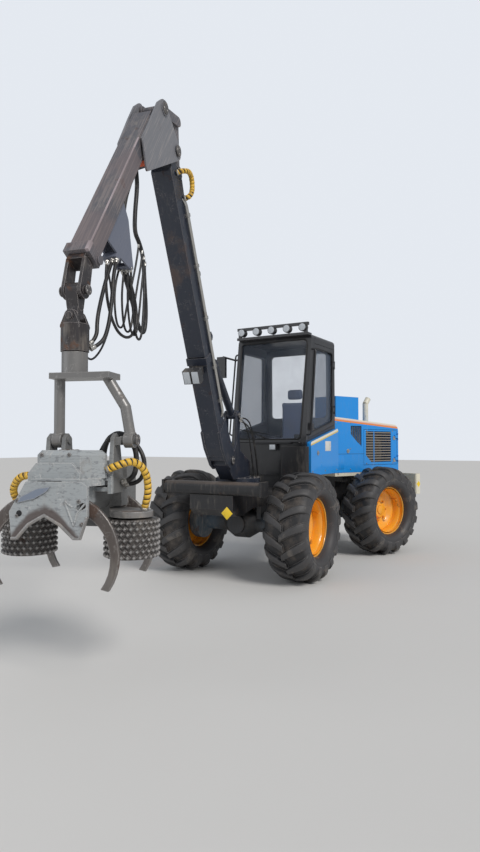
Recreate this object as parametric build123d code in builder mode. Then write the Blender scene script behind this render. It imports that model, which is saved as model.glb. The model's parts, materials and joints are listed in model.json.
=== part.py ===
from build123d import *
from math import atan, atan2, cos, degrees, hypot, pi, radians, sin
import os

# A four-wheel articulated forestry harvester, in millimetres.
# The machine frame has X forward, Y to the driver's left and Z up from the ground,
# with its origin under the middle of the front axle.

# Driving sizes of the running gear
tyre_diameter = 1330
tyre_width = 540
lug_height = 45
lugs_per_side = 17
rim_radius = 336
rim_half_width = 236
rim_wall = 10
flange_height = 20
disc_inset = 70
disc_thickness = 14
hub_radius = 120
track = 1680
front_to_pivot = 2055
pivot_to_rear_axle = 717
articulation = -21.7

# Driving sizes of the chassis
frame_half_width = 300
tail_half_width = 110
rear_half_width = 280
deck_height = 1070
belly_height = 560
nose_x = 790
axle_tube_radius = 110
axle_bulb_radius = 190
running_gap = 5
hinge_pin_radius = 5
pin_gap = 0.3

# Driving sizes of the cab
cab_half_width = 580
cab_wall = 40
cab_floor_height = 1250
cab_roof_height = 3200
cab_front_x = -660
cab_rear_x = -1720
screen_foot_z = 1700
screen_lean = 210
glass_thickness = 8

# Driving sizes of the hood
hood_half_width = 500
hood_front = -60
hood_rear = -1600
hood_bottom = 1230
hood_top_front = 2090
hood_top_rear = 1990
hood_wall = 20

# Driving sizes of the crane
slew_x = 150
slew_angle = 12
foot_r = 580
foot_z = 1480
boom_lean = 28.4
boom_half_width = 103
boom_back = 0
boom_front = 214
knuckle_pin_x = 22
knuckle_pin_z = 3386
knuckle_drop = 56.6
knuckle_half_width = 88
knuckle_low = 340
knuckle_high = 490
knuckle_end = 1990
tip_x = 2233
tip_z = 339
head_yaw = 6
sway_drop = 190

# Driving sizes of the head
tilt_axis_z = 1700
plate_top_z = 2174
plate_thickness = 43
head_half_width = 190
roller_radius = 200
roller_height = 273
roller_low = 875
roller_x = -100
roller_y = 400
arm_pin_x = -300
arm_pin_y = 200
arm_pin_radius = 28
knife_thickness = 30
front_knife_x = 300
rear_knife_x = -440


# Shapes that many pieces share


def block(x, y, z, mode=Mode.ADD):
    """A box from three (low, high) spans."""
    with Locations(((x[0] + x[1]) / 2, (y[0] + y[1]) / 2, (z[0] + z[1]) / 2)):
        Box(x[1] - x[0], y[1] - y[0], z[1] - z[0], mode=mode)


def bar(start, end, radius, mode=Mode.ADD):
    """A round bar from one point to another."""
    axis = Vector(*end) - Vector(*start)
    with BuildSketch(Plane(origin=start, z_dir=axis)) as profile:
        Circle(radius)
    extrude(to_extrude=profile.sketch, amount=axis.length, mode=mode)


def plate(outline, y, holes=(), corner=0, mode=Mode.ADD):
    """A side plate: an outline of (x, z) points over a (low, high) span of y, with (x, z, radius) holes."""
    with BuildSketch(Plane.XZ.offset(-y[0])) as profile:
        with BuildLine():
            Polyline(*outline, close=True)
        make_face()
        if corner:
            fillet(profile.vertices(), corner)
        for x, z, radius in holes:
            with Locations((x, z)):
                Circle(radius, mode=Mode.SUBTRACT)
    extrude(to_extrude=profile.sketch, amount=y[0] - y[1], mode=mode)


def lobes(discs, y, holes=(), mode=Mode.ADD):
    """A link plate: the hull round (x, z, radius) discs over a (low, high) span of y."""
    with BuildSketch(Plane.XZ.offset(-y[0])) as profile:
        for x, z, radius in discs:
            with Locations((x, z)):
                Circle(radius)
        make_hull()
        for x, z, radius in holes:
            with Locations((x, z)):
                Circle(radius, mode=Mode.SUBTRACT)
    extrude(to_extrude=profile.sketch, amount=y[0] - y[1], mode=mode)


def cross_pin(x, z, radius, half_length, mode=Mode.ADD):
    """A pin along Y through (x, z)."""
    bar((x, -half_length, z), (x, half_length, z), radius, mode)


def hose(route, radius):
    """A free hose: a tube drawn towards each of its route's points in turn, smooth between them."""
    points = [Vector(*point) for point in route]
    ends = [points[0]] + [(a + b) / 2 for a, b in zip(points[1:-2], points[2:-1])] + [points[-1]]
    with BuildPart() as tube:
        with BuildLine() as path:
            for start, middle, end in zip(ends, points[1:-1], ends[1:]):
                Bezier(start, middle, end)
        with BuildSketch(Plane(origin=points[0], z_dir=points[1] - points[0])) as section:
            Circle(radius)
        sweep(sections=section.sketch, path=path.line)
    return tube.part


def hinge_pin(hinge, face_y, z, half_barrel):
    """A fixed hinge pin with a bracket above and below a barrel, seated on a wall's face at y."""
    x, y = hinge
    bar((x, y, z - half_barrel - 18), (x, y, z + half_barrel + 18), hinge_pin_radius)
    for low in (z - half_barrel - 18, z + half_barrel + 3):
        block((x - 10, x + 6), (face_y - 2, y + 8), (low, low + 15))


def hinge_leaf(hinge, door_x, face_y, z, half_barrel):
    """The moving half of a hinge: a bored barrel and a leaf that reaches the door's face."""
    x, y = hinge
    bar((x, y, z - half_barrel), (x, y, z + half_barrel), hinge_pin_radius + 4)
    block((x, door_x + 60), (y - 5, y + 5), (z - half_barrel + 10, z + half_barrel - 10))
    block((door_x + 15, door_x + 60), (face_y - 2, y + 5), (z - half_barrel + 10, z + half_barrel - 10))
    bar((x, y, z - half_barrel - 1), (x, y, z + half_barrel + 1), hinge_pin_radius + pin_gap, Mode.SUBTRACT)


def both_sides(low, high):
    """The (low, high) spans of a pair of plates left and right of the middle."""
    return ((low, high), (-high, -low))


# Frames in which the pieces are drawn

machine = Location((0, 0, 0))
rear = Location((-front_to_pivot, 0, 0), (0, 0, articulation))
crane = Location((slew_x, 0, 0), (0, 0, slew_angle))
boom = crane * Location((foot_r, 0, foot_z), (0, boom_lean, 0))
knuckle = boom * Location((knuckle_pin_x, 0, knuckle_pin_z), (0, knuckle_drop - boom_lean, 0))
tip_in_crane = (crane.inverse() * knuckle * Location((tip_x, 0, tip_z))).position
hang = crane * Location((tip_in_crane.X, 0, 0))
hang_z = tip_in_crane.Z
head = hang * Location((0, 0, 0), (0, 0, head_yaw))
rear_axle_x = -pivot_to_rear_axle

pieces = []


# Wheels, drawn about the wheel's centre with +Y outward

tyre_radius = tyre_diameter / 2
carcass_radius = tyre_radius - lug_height
tyre_half = tyre_width / 2
bead_half = rim_half_width - rim_wall - pin_gap
bead_radius = rim_radius + pin_gap

tyre_sides = 2 * lugs_per_side
lug_top = tyre_radius - 7
carcass_rings = (
    (0, carcass_radius), (tyre_half - 50, carcass_radius), (tyre_half - 8, 560), (tyre_half - 2, 500),
    (bead_half, 400),
)

with BuildPart() as half_carcass:
    for (low_y, low_radius), (high_y, high_radius) in zip(carcass_rings, carcass_rings[1:]):
        if high_y > low_y:
            with BuildSketch(Plane.XZ.offset(-low_y)) as ring:
                RegularPolygon(low_radius, tyre_sides)
            lean = degrees(atan((low_radius - high_radius) * cos(pi / tyre_sides) / (high_y - low_y)))
            extrude(to_extrude=ring.sketch, amount=low_y - high_y, taper=lean)

with BuildPart() as tyre:
    add(half_carcass.part)
    mirror(about=Plane.XZ)
    for side, first in ((1, 0), (-1, 0.5)):
        for index in range(lugs_per_side):
            turn = 360 * (index + first) / lugs_per_side
            with BuildSketch(Plane.XY.rotated((0, turn, 0)).offset(carcass_radius - 50)) as lug:
                with BuildLine():
                    Polyline(
                        (-40, -10 * side), (8, -10 * side), (96, (tyre_half - 4) * side),
                        (24, (tyre_half - 4) * side), close=True,
                    )
                make_face()
            extrude(amount=lug_top - carcass_radius + 50)
    with BuildSketch(Plane.XZ) as hole:
        Circle(bead_radius)
    extrude(to_extrude=hole.sketch, amount=300, both=True, mode=Mode.SUBTRACT)
    for y in both_sides(bead_half, 300):
        with BuildSketch(Plane.XZ.offset(-y[0])) as recess:
            RegularPolygon(rim_radius + 84, tyre_sides)
        extrude(to_extrude=recess.sketch, amount=y[0] - y[1], mode=Mode.SUBTRACT)

disc_outer = -disc_inset + disc_thickness
hub_inner = -disc_inset - 45
spindle_radius = 60

with BuildPart() as rim:
    with BuildSketch(Plane.XY):
        with BuildLine():
            Polyline(
                (rim_radius - rim_wall, rim_half_width),
                (rim_radius + flange_height, rim_half_width),
                (rim_radius + flange_height, rim_half_width - rim_wall),
                (rim_radius, rim_half_width - rim_wall),
                (rim_radius, -rim_half_width + rim_wall),
                (rim_radius + flange_height, -rim_half_width + rim_wall),
                (rim_radius + flange_height, -rim_half_width),
                (rim_radius - rim_wall, -rim_half_width),
                close=True,
            )
        make_face()
    revolve(axis=Axis.Y)
    with BuildSketch(Plane.XY):
        with BuildLine():
            Polyline(
                (0, disc_outer + 55),
                (hub_radius, disc_outer + 45),
                (hub_radius, disc_outer),
                (210, disc_outer),
                (rim_radius - rim_wall + 1, disc_outer + 50),
                (rim_radius - rim_wall + 1, disc_outer + 36),
                (216, disc_outer - disc_thickness),
                (150, disc_outer - disc_thickness),
                (150, hub_inner),
                (spindle_radius + pin_gap, hub_inner),
                (spindle_radius + pin_gap, disc_outer - disc_thickness),
                (0, disc_outer - disc_thickness),
                close=True,
            )
        make_face()
    revolve(axis=Axis.Y)
    with BuildSketch(Plane.XZ.offset(-disc_outer)):
        with PolarLocations(165, 8):
            RegularPolygon(17, 6)
    extrude(amount=-22)

wheel_places = (
    ("front_left", machine * Location((0, track / 2, tyre_radius)), False),
    ("front_right", machine * Location((0, -track / 2, tyre_radius)), True),
    ("rear_left", rear * Location((rear_axle_x, track / 2, tyre_radius)), False),
    ("rear_right", rear * Location((rear_axle_x, -track / 2, tyre_radius)), True),
)
for corner_name, place, flipped in wheel_places:
    pieces.append(("tyre_" + corner_name, tyre.part, place))
    rim_part = rim.part.mirror(Plane.XZ) if flipped else rim.part
    pieces.append(("rim_" + corner_name, rim_part, place))


# Axles, drawn about the axle's centre

hub_face = track / 2 + hub_inner - running_gap
drum_radius = 235


def axle_beam():
    """A banjo axle: a bulb, two tapering tubes, hub drums and the spindles that carry the wheels."""
    with BuildSketch(Plane.XY) as profile:
        with BuildLine():
            Polyline(
                (0, 0),
                (axle_bulb_radius, 0),
                (axle_bulb_radius, 90),
                (axle_tube_radius, 230),
                (axle_tube_radius, 540),
                (drum_radius, 590),
                (drum_radius, hub_face - 30),
                (150, hub_face),
                (spindle_radius, hub_face),
                (spindle_radius, hub_face + 45),
                (0, hub_face + 45),
                close=True,
            )
        make_face()
        mirror(about=Plane.XZ)
    revolve(profile.sketch, axis=Axis.Y)


front_arch = 890
saddle_y = (235, 295)

with BuildPart() as front_axle:
    axle_beam()
    with BuildSketch(Plane.YZ.offset(axle_bulb_radius - 30)) as cover:
        Circle(120)
    extrude(to_extrude=cover.sketch, amount=55)
    for y in both_sides(*saddle_y):
        block((-90, 90), y, (60, front_arch - tyre_radius))

with BuildPart() as rear_axle:
    axle_beam()
    for y in both_sides(*saddle_y):
        block((-90, 90), (y[0], y[1]), (60, front_arch - tyre_radius))

pieces.append(("front_axle", front_axle.part, machine * Location((0, 0, tyre_radius))))
pieces.append(("rear_axle", rear_axle.part, rear * Location((rear_axle_x, 0, tyre_radius))))


# Front chassis: box frame with a nose tube, a slew pedestal, a tail and the pivot's ears

tail_front = -1240
tail_rear = -front_to_pivot + 185
ear_spans = ((belly_height, 620), (930, 990))
pivot_pin_radius = 45
steer_pin_x = -1305
steer_pin_y = 200
steer_z = 800
steer_eye = 50
steer_lug = (46, 70)
steer_pin_radius = 22
tube_x = 740
tube_half_length = 670
tube_low = deck_height
tube_high = 1230
pedestal_top = 1110
pedestal_radius = 300
spigot_radius = 150

with BuildPart() as front_frame:
    plate(
        (
            (nose_x, 900), (nose_x, deck_height), (tail_front, deck_height), (tail_front, belly_height),
            (-420, belly_height), (-300, front_arch), (300, front_arch), (560, 820), (700, 820),
        ),
        (-frame_half_width, frame_half_width),
    )
    block((tail_rear, tail_front), (-tail_half_width, tail_half_width), (ear_spans[0][1], 1000))
    for z in ear_spans:
        block((tail_rear, tail_front), (-tail_half_width, tail_half_width), z)
        with BuildSketch(Plane.XY.offset(z[0])) as ear:
            with Locations((-front_to_pivot, 0), (tail_rear, 0)):
                Circle(tail_half_width)
            make_hull()
        extrude(to_extrude=ear.sketch, amount=z[1] - z[0])
    bar((-front_to_pivot, 0, belly_height - 15), (-front_to_pivot, 0, 1010), pivot_pin_radius)
    with Locations((slew_x, 0, deck_height)):
        Cylinder(pedestal_radius, pedestal_top - deck_height, align=(Align.CENTER, Align.CENTER, Align.MIN))
        Cylinder(spigot_radius, 120, align=(Align.CENTER, Align.CENTER, Align.MIN))
    with BuildSketch(Plane.XZ.offset(-tube_half_length)) as tube:
        with Locations((tube_x, (tube_low + tube_high) / 2)):
            RectangleRounded(tube_high - tube_low, tube_high - tube_low, 60)
    extrude(to_extrude=tube.sketch, amount=2 * tube_half_length)
    for y in both_sides(tube_half_length, tube_half_length + 25):
        block((tube_x - 90, tube_x + 90), y, (tube_low, tube_high + 10))
    for side in (1, -1):
        for z in both_sides(*steer_lug):
            with BuildSketch(Plane.XY.offset(steer_z + z[0])) as lug:
                with Locations((steer_pin_x, side * steer_pin_y), (tail_front + 20, side * steer_pin_y)):
                    Circle(steer_eye)
                make_hull()
            extrude(to_extrude=lug.sketch, amount=z[1] - z[0])
        bar((steer_pin_x, side * steer_pin_y, steer_z - 80), (steer_pin_x, side * steer_pin_y, steer_z + 80),
            steer_pin_radius)
    block((tail_front - 60, cab_front_x - 20), (-430, 430), (deck_height, cab_floor_height))
    block((cab_front_x - 30, cab_front_x + 90), (250, 640), (1190, cab_floor_height - 5))
    with BuildSketch(Plane.XY.offset(1190)) as guard:
        with Locations((cab_front_x + 65, 445)):
            RectangleRounded(110, 400, 50)
    extrude(to_extrude=guard.sketch, amount=450)
    bar((tube_x - 130, 330, 1150), (tube_x - 70, 330, 1150), 40)

pieces.append(("front_frame", front_frame.part, machine))


# Rear chassis: bearing housing with steering arms, box frame, tow jaw at the back

housing_radius = 110
steer_arm_y = 250
steer_arm_x = -50
rear_nose = -300
rear_end = -1650
tow_bore_radius = 21

with BuildPart() as rear_frame:
    plate(
        (
            (rear_nose, belly_height), (rear_nose, 1100), (rear_end, 1100), (rear_end, 700),
            (-1180, 700), (rear_axle_x - 260, front_arch), (rear_axle_x + 230, front_arch),
            (rear_axle_x + 330, belly_height),
        ),
        (-rear_half_width, rear_half_width),
    )
    bar((0, 0, ear_spans[0][1] + running_gap), (0, 0, ear_spans[1][0] - running_gap), housing_radius)
    block((rear_nose, 0), (-tail_half_width, tail_half_width), (ear_spans[0][1] + 5, ear_spans[1][0] - 5))
    for z in both_sides(*steer_lug):
        with BuildSketch(Plane.XY.offset(steer_z + z[0])) as arm:
            with Locations((steer_arm_x, steer_arm_y), (steer_arm_x, -steer_arm_y), (steer_arm_x - 60, 0)):
                Circle(steer_eye)
            make_hull()
        extrude(to_extrude=arm.sketch, amount=z[1] - z[0])
    for x in ((-420, rear_nose), (-1600, -1480)):
        block(x, (-hood_half_width + 60, hood_half_width - 60), (1090, 1180))
    bar((0, 0, 500), (0, 0, 1080), pivot_pin_radius + pin_gap, Mode.SUBTRACT)
    for z in ((780, 820), (900, 940)):
        block((rear_end - 160, rear_end), (-90, 90), z)
    with Locations((rear_end - 100, 0, 860)):
        Cylinder(tow_bore_radius, 200, mode=Mode.SUBTRACT)

pieces.append(("rear_frame", rear_frame.part, rear))


# Steering cylinders, drawn from the front pin towards the rear pin


def cylinder_pair(span, barrel_length, barrel_radius, rod_radius, eye_half, eye_radius, pin_radius, outward):
    """The barrel and rod of a cylinder, along +X from its barrel pin at the origin, with the rod's run outward."""
    with BuildPart() as barrel:
        bar((eye_radius - 12, 0, 0), (barrel_length, 0, 0), barrel_radius)
        bar((barrel_length - 40, 0, 0), (barrel_length, 0, 0), barrel_radius + 6)
        bar((0, -eye_half, 0), (0, eye_half, 0), eye_radius)
        bar((100, 0, 0), (barrel_length + 1, 0, 0), rod_radius + pin_gap, Mode.SUBTRACT)
        cross_pin(0, 0, pin_radius + pin_gap, eye_half + 1, Mode.SUBTRACT)
    with BuildPart() as rod:
        bar((barrel_length - 60 - outward, 0, 0), (span - eye_radius + 12, 0, 0), rod_radius)
        bar((span, -eye_half, 0), (span, eye_half, 0), eye_radius)
    return barrel.part, rod.part


def flat_line(place, other):
    """The frame at one pin with X towards the other pin, both upright on Z."""
    run = other - place
    return Location(place, (0, 0, degrees(atan2(run.Y, run.X))))


steer_places = {}
for side_name, side, outward in (("left", 1, 256), ("right", -1, 78)):
    near = Vector(steer_pin_x, side * steer_pin_y, steer_z)
    far = (rear * Location((steer_arm_x, side * steer_arm_y, steer_z))).position
    span = (far - near).length
    place = flat_line(near, far) * Location((0, 0, 0), (90, 0, 0))
    barrel_part, rod_part = cylinder_pair(span, 520, 40, 24, 41, 45, steer_pin_radius, outward)
    steer_places[side_name] = (near, far)
    pieces.append(("steer_barrel_" + side_name, barrel_part, place))
    pieces.append(("steer_rod_" + side_name, rod_part, place))


# Cab: a hollow shell with pillars, the windows and the door opening cut out

screen_top_x = cab_front_x - screen_lean
roof_underside = cab_roof_height - 60
cab_outline = (
    (cab_front_x, cab_floor_height), (cab_front_x, screen_foot_z), (screen_top_x, cab_roof_height),
    (cab_rear_x + 20, cab_roof_height), (cab_rear_x, cab_floor_height),
)
cab_inside = (
    (cab_front_x - cab_wall, cab_floor_height + cab_wall), (cab_front_x - cab_wall, screen_foot_z - 6),
    (screen_top_x - cab_wall + 8, roof_underside), (cab_rear_x + cab_wall + 20, roof_underside),
    (cab_rear_x + cab_wall, cab_floor_height + cab_wall),
)
door_outline = (
    (-735, 1745), (-1650, 1945), (-1665, 3075), (-935, 3075), (-760, 1860),
)
door_glass_outline = (
    (-815, 1835), (-1590, 2005), (-1605, 3010), (-970, 3010),
)
inner_half = cab_half_width - cab_wall
back_window_width = 2 * inner_half - 160
back_window_height = 960
door_hinge = (-1672, cab_half_width + 11)
door_hinge_heights = (2180, 2840)


def screen_outline(gap):
    """The windscreen's opening seen from ahead as (y, z) points, smaller by the gap."""
    foot = inner_half - 45 - gap
    top = inner_half - 20 - gap
    low = screen_foot_z + 40 + gap
    high = roof_underside - 20 - gap
    return ((-foot, low), (foot, low), (top, high), (-top, high))


def side_pane(y):
    """A side window's pane in its opening, over a (low, high) span of y."""
    with BuildSketch(Plane.XZ.offset(-y[0])) as profile:
        with BuildLine():
            Polyline(*door_glass_outline, close=True)
        make_face()
        fillet(profile.vertices(), 40)
        offset(amount=-pin_gap, mode=Mode.REPLACE)
    extrude(to_extrude=profile.sketch, amount=y[0] - y[1])


with BuildPart() as cab_shell:
    plate(cab_outline, (-cab_half_width, cab_half_width))
    fillet(cab_shell.edges().filter_by(Axis.X).group_by(Axis.Z)[-1], 60)
    plate(cab_inside, (-inner_half, inner_half), mode=Mode.SUBTRACT)
    with BuildSketch(Plane.YZ.offset(cab_front_x + 50)) as screen:
        with BuildLine():
            Polyline(*screen_outline(0), close=True)
        make_face()
        fillet(screen.vertices(), 50)
    extrude(to_extrude=screen.sketch, amount=-400, mode=Mode.SUBTRACT)
    with BuildSketch(Plane.YZ.offset(cab_rear_x - 50)) as back_window:
        with Locations((0, 2550)):
            RectangleRounded(back_window_width, back_window_height, 60)
    extrude(to_extrude=back_window.sketch, amount=200, mode=Mode.SUBTRACT)
    plate(door_glass_outline, (-cab_half_width - 10, -inner_half + 10), corner=40, mode=Mode.SUBTRACT)
    plate(door_outline, (inner_half - 10, cab_half_width + 10), mode=Mode.SUBTRACT)
    for z in door_hinge_heights:
        hinge_pin(door_hinge, cab_half_width, z, 40)
    block((screen_top_x - 40, screen_top_x + 90), (-cab_half_width + 20, cab_half_width - 20),
          (cab_roof_height - 25, cab_roof_height + 10))
    bar((cab_front_x + 25, -190, 1685), (cab_front_x + 25, 370, 1685), 13)
    for y in (-150, 330):
        block((cab_front_x - 10, cab_front_x + 30), (y - 12, y + 12), (1672, 1698))
    block((cab_front_x - 10, cab_front_x + 70), (60, 160), (1590, 1672))

door_inner = (
    (-745, 1754), (-1644, 1951), (-1659, 3069), (-940, 3069), (-767, 1864),
)

with BuildPart() as cab_door:
    plate(door_inner, (inner_half, cab_half_width))
    plate(door_glass_outline, (inner_half - 10, cab_half_width + 10), corner=40, mode=Mode.SUBTRACT)
    for z in door_hinge_heights:
        hinge_leaf(door_hinge, -1659, cab_half_width, z, 40)
    block((-850, -800), (cab_half_width, cab_half_width + 35), (1860, 1960))

pane_middle = (inner_half + cab_half_width) / 2
pane_span = (pane_middle - glass_thickness / 2, pane_middle + glass_thickness / 2)

with BuildPart() as door_glass:
    side_pane(pane_span)

screen_slope = screen_lean / (cab_roof_height - screen_foot_z)
pane_front_x = cab_front_x - 16

with BuildPart() as windscreen:
    plate(
        (
            (pane_front_x, screen_foot_z), (pane_front_x - glass_thickness, screen_foot_z),
            (pane_front_x - glass_thickness - screen_slope * 1500, screen_foot_z + 1500),
            (pane_front_x - screen_slope * 1500, screen_foot_z + 1500),
        ),
        (-inner_half, inner_half),
    )
    with BuildSketch(Plane.YZ.offset(cab_front_x + 50)) as pane:
        with BuildLine():
            Polyline(*screen_outline(pin_gap), close=True)
        make_face()
        fillet(pane.vertices(), 50)
    extrude(to_extrude=pane.sketch, amount=-400, mode=Mode.INTERSECT)

with BuildPart() as cab_glass:
    add(windscreen.part)
    side_pane((-pane_span[1], -pane_span[0]))
    with BuildSketch(Plane.YZ.offset(cab_rear_x + 20)) as back_pane:
        with Locations((0, 2550)):
            RectangleRounded(back_window_width - 2 * pin_gap, back_window_height - 2 * pin_gap, 60)
    extrude(to_extrude=back_pane.sketch, amount=glass_thickness)

skirt_outline = (
    (cab_front_x - 45, cab_floor_height), (cab_front_x - 45, 1700), (-1700, 1905), (-1712, cab_floor_height),
)
with BuildPart() as cab_skirts:
    for y in both_sides(cab_half_width, cab_half_width + 55):
        plate(skirt_outline, y, corner=30)

with BuildPart() as cab_fittings:
    block((-830, -790), (-560, 560), (cab_roof_height + 110, cab_roof_height + 150))
    for y in (-520, 520):
        block((-830, -790), (y - 20, y + 20), (cab_roof_height + 10, cab_roof_height + 110))
    for y in (-480, -240, 0, 240, 480):
        with BuildSketch(Plane.YZ.offset(-850)) as lamp:
            with Locations((y, cab_roof_height + 80)):
                RegularPolygon(57, 12)
        extrude(to_extrude=lamp.sketch, amount=80)
        block((-825, -795), (y - 12, y + 12), (cab_roof_height + 80, cab_roof_height + 120))

    bar((-840, -cab_half_width, 2900), (-840, -cab_half_width - 50, 2900), 14)
    bar((-840, -cab_half_width - 45, 2900), (-740, -cab_half_width - 200, 2950), 14)
    block((-770, -720), (-cab_half_width - 290, -cab_half_width - 150), (2640, 2950))

with BuildPart() as seat_base:
    block((-1500, -1050), (-200, 200), (cab_floor_height + cab_wall, cab_floor_height + 300))
    block((-1520, -1030), (-250, 250), (cab_floor_height + 300, cab_floor_height + 380))
    for y in both_sides(255, 350):
        block((-1460, -980), (min(y[0], y[1]), max(y[0], y[1])), (cab_floor_height + 330, cab_floor_height + 560))
    block((-1480, -1020), (-350, 350), (cab_floor_height + 310, cab_floor_height + 350))

seat_bottom = cab_floor_height + 380 + pin_gap
with BuildPart() as seat_cushions:
    block((-1500, -1010), (-250, 250), (seat_bottom, seat_bottom + 130))
    block((-1620, -1510), (-240, 240), (seat_bottom, seat_bottom + 700))
    block((-1600, -1520), (-130, 130), (seat_bottom + 699, seat_bottom + 880))

for name, builder in (
    ("cab_shell", cab_shell), ("cab_door", cab_door), ("door_glass", door_glass),
    ("cab_glass", cab_glass), ("cab_skirts", cab_skirts), ("lamp_rack", cab_fittings),
    ("seat_base", seat_base), ("seat_cushions", seat_cushions),
):
    pieces.append((name, builder.part, machine))


# Engine bay: hood, grille doors, engine, exhaust and bumper, in the rear frame

door_front = -735
door_rear = -1560
door_low = 1345
door_high = 1950
grille_hinge = (door_rear - 12, hood_half_width + 11)
grille_hinge_heights = (door_low + 90, door_high - 150)

with BuildPart() as hood:
    hood_outline = (
        (hood_front, hood_bottom), (hood_front, hood_top_front), (hood_rear, hood_top_rear),
        (hood_rear, hood_bottom),
    )
    plate(hood_outline, (-hood_half_width, hood_half_width))
    fillet(hood.edges().filter_by(Axis.Y).group_by(Axis.X)[0].sort_by(Axis.Z)[-1], 110)
    hood_inside = (
        (hood_front - hood_wall, hood_bottom - 1), (hood_front - hood_wall, hood_top_front - hood_wall - 2),
        (hood_rear + 90, hood_top_rear - hood_wall + 3), (hood_rear + hood_wall, hood_top_rear - 90),
        (hood_rear + hood_wall, hood_bottom - 1),
    )
    plate(hood_inside, (-hood_half_width + hood_wall, hood_half_width - hood_wall), mode=Mode.SUBTRACT)
    block((door_rear - 5, door_front + 5), (-hood_half_width - 5, hood_half_width + 5),
          (door_low - 5, door_high - 40), mode=Mode.SUBTRACT)
    side_grille = ((-430, 1960), (-680, 1960), (-680, 1640), (-560, 1720), (-430, 1830))
    for y in both_sides(hood_half_width - hood_wall - 1, hood_half_width + 1):
        plate(side_grille, y, mode=Mode.SUBTRACT)
    for y in both_sides(hood_half_width - 14, hood_half_width - 8):
        for x in (-480, -530, -580, -630):
            block((x - 3, x + 3), y, (1630, 1965))
    plate(
        ((hood_front - 30, 2060), (hood_front - 30, 2410), (hood_front - 550, 2410), (hood_front - 550, 2030)),
        (60, hood_half_width),
    )
    bar((-1010, 300, 1900), (-1010, 300, 2200), 50, Mode.SUBTRACT)
    for z in grille_hinge_heights:
        hinge_pin(grille_hinge, hood_half_width, z, 35)
    with BuildPart(mode=Mode.PRIVATE) as right_pins:
        for z in grille_hinge_heights:
            hinge_pin(grille_hinge, hood_half_width, z, 35)
    add(right_pins.part.mirror(Plane.XZ))

slat_low = 1385
slat_high = 1880
slat_front = -785
slat_rear = -1410
slat_count = 12
slat_pitch = (slat_high - slat_low) / slat_count

with BuildPart() as grille_door:
    block((door_rear, door_front), (hood_half_width - hood_wall, hood_half_width), (door_low, door_high - 45))
    plate(
        (
            (slat_front - 130, slat_low), (slat_front, slat_low + 110), (slat_front, slat_high),
            (slat_rear, slat_high), (slat_rear, slat_low),
        ),
        (hood_half_width - hood_wall - 1, hood_half_width + 1), mode=Mode.SUBTRACT,
    )
    for index in range(slat_count):
        z = slat_low + (index + 0.5) * slat_pitch
        front = slat_front - max(0, 130 - (z - slat_low) * 130 / 110)
        block((slat_rear - 2, front + 2), (hood_half_width - 16, hood_half_width - 4), (z - 9, z + 9))
    block((-992, -972), (hood_half_width - 18, hood_half_width - 2), (slat_low - 2, slat_high + 2))
    for z in grille_hinge_heights:
        hinge_leaf(grille_hinge, door_rear, hood_half_width, z, 35)

deck_low = 1180
with BuildPart() as hood_deck:
    block((hood_rear, hood_front), (-hood_half_width - 10, hood_half_width + 10), (deck_low, hood_bottom))
    block((hood_rear + 120, hood_front - 250), (-hood_half_width + 130, hood_half_width - 130),
          (deck_low - 1, hood_bottom + 1), mode=Mode.SUBTRACT)

with BuildPart() as engine:
    block((-1350, -430), (-260, 350), (1100, 1820))

with BuildPart() as exhaust:
    bar((-1010, 300, 1820), (-1010, 300, 2340), 45)
    bar((-1010, 300, 2335), (-1075, 300, 2420), 45)

with BuildPart() as bumper:
    with BuildSketch(Plane.XY.offset(860)) as bumper_plan:
        with Locations((rear_end - 60, 0)):
            Rectangle(120, 1640)
        fillet(bumper_plan.vertices(), 30)
    extrude(to_extrude=bumper_plan.sketch, amount=330)
    block((rear_end - 130, rear_end + 1), (-120, 120), (700, 1000), mode=Mode.SUBTRACT)

grille_right = grille_door.part.mirror(Plane.XZ)
for name, part in (
    ("hood", hood.part), ("hood_deck", hood_deck.part), ("grille_door_left", grille_door.part), ("grille_door_right", grille_right),
    ("engine", engine.part), ("exhaust", exhaust.part), ("rear_bumper", bumper.part),
):
    pieces.append((name, part, rear))


# Crane pillar, in the crane frame

pillar_bottom = pedestal_top + running_gap
tower_half_width = 85
cheek_plate = (61, 85)
foot_pin_radius = 45
lift_pin = (250, 2030)
lift_pin_radius = 30

with BuildPart() as pillar:
    bar((0, 0, pillar_bottom), (0, 0, 1250), 280)
    plate(
        (
            (-230, 1245), (430, 1245), (600, 1375), (foot_r + 90, foot_z - 55), (foot_r + 90, foot_z + 55),
            (foot_r + 30, foot_z + 100), (480, 1590), (150, 1590), (-230, 1450),
        ),
        (-tower_half_width, tower_half_width),
    )
    for y in both_sides(*cheek_plate):
        plate(
            (
                (150, 1560), (420, 1560), (305, 1700), (300, lift_pin[1] + 30), (270, lift_pin[1] + 55),
                (225, lift_pin[1] + 55), (195, lift_pin[1] + 20), (190, 1700),
            ),
            y,
        )
    cross_pin(foot_r, foot_z, foot_pin_radius, 130)
    bar((lift_pin[0], -95, lift_pin[1]), (lift_pin[0], 95, lift_pin[1]), 26)
    bar((0, 0, pillar_bottom - 1), (0, 0, deck_height + 120 + 5), spigot_radius + pin_gap, Mode.SUBTRACT)

pieces.append(("crane_pillar", pillar.part, crane))


# Main boom, in the boom frame, whose Z runs along the boom from the foot pin

lift_eye = (-110, 1500)
knuckle_eye = (-60, 2200)
rocker_pin = (-30, 3215)
link_pin = (-212, 3632)
rocker_pin_radius = 26
knuckle_pin_radius = 45
boom_wall = 12
head_lug = 50
boot_plate = (90, 118)
foot_nose = (boom_front - 64, 20)
foot_nose_end = 280

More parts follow.
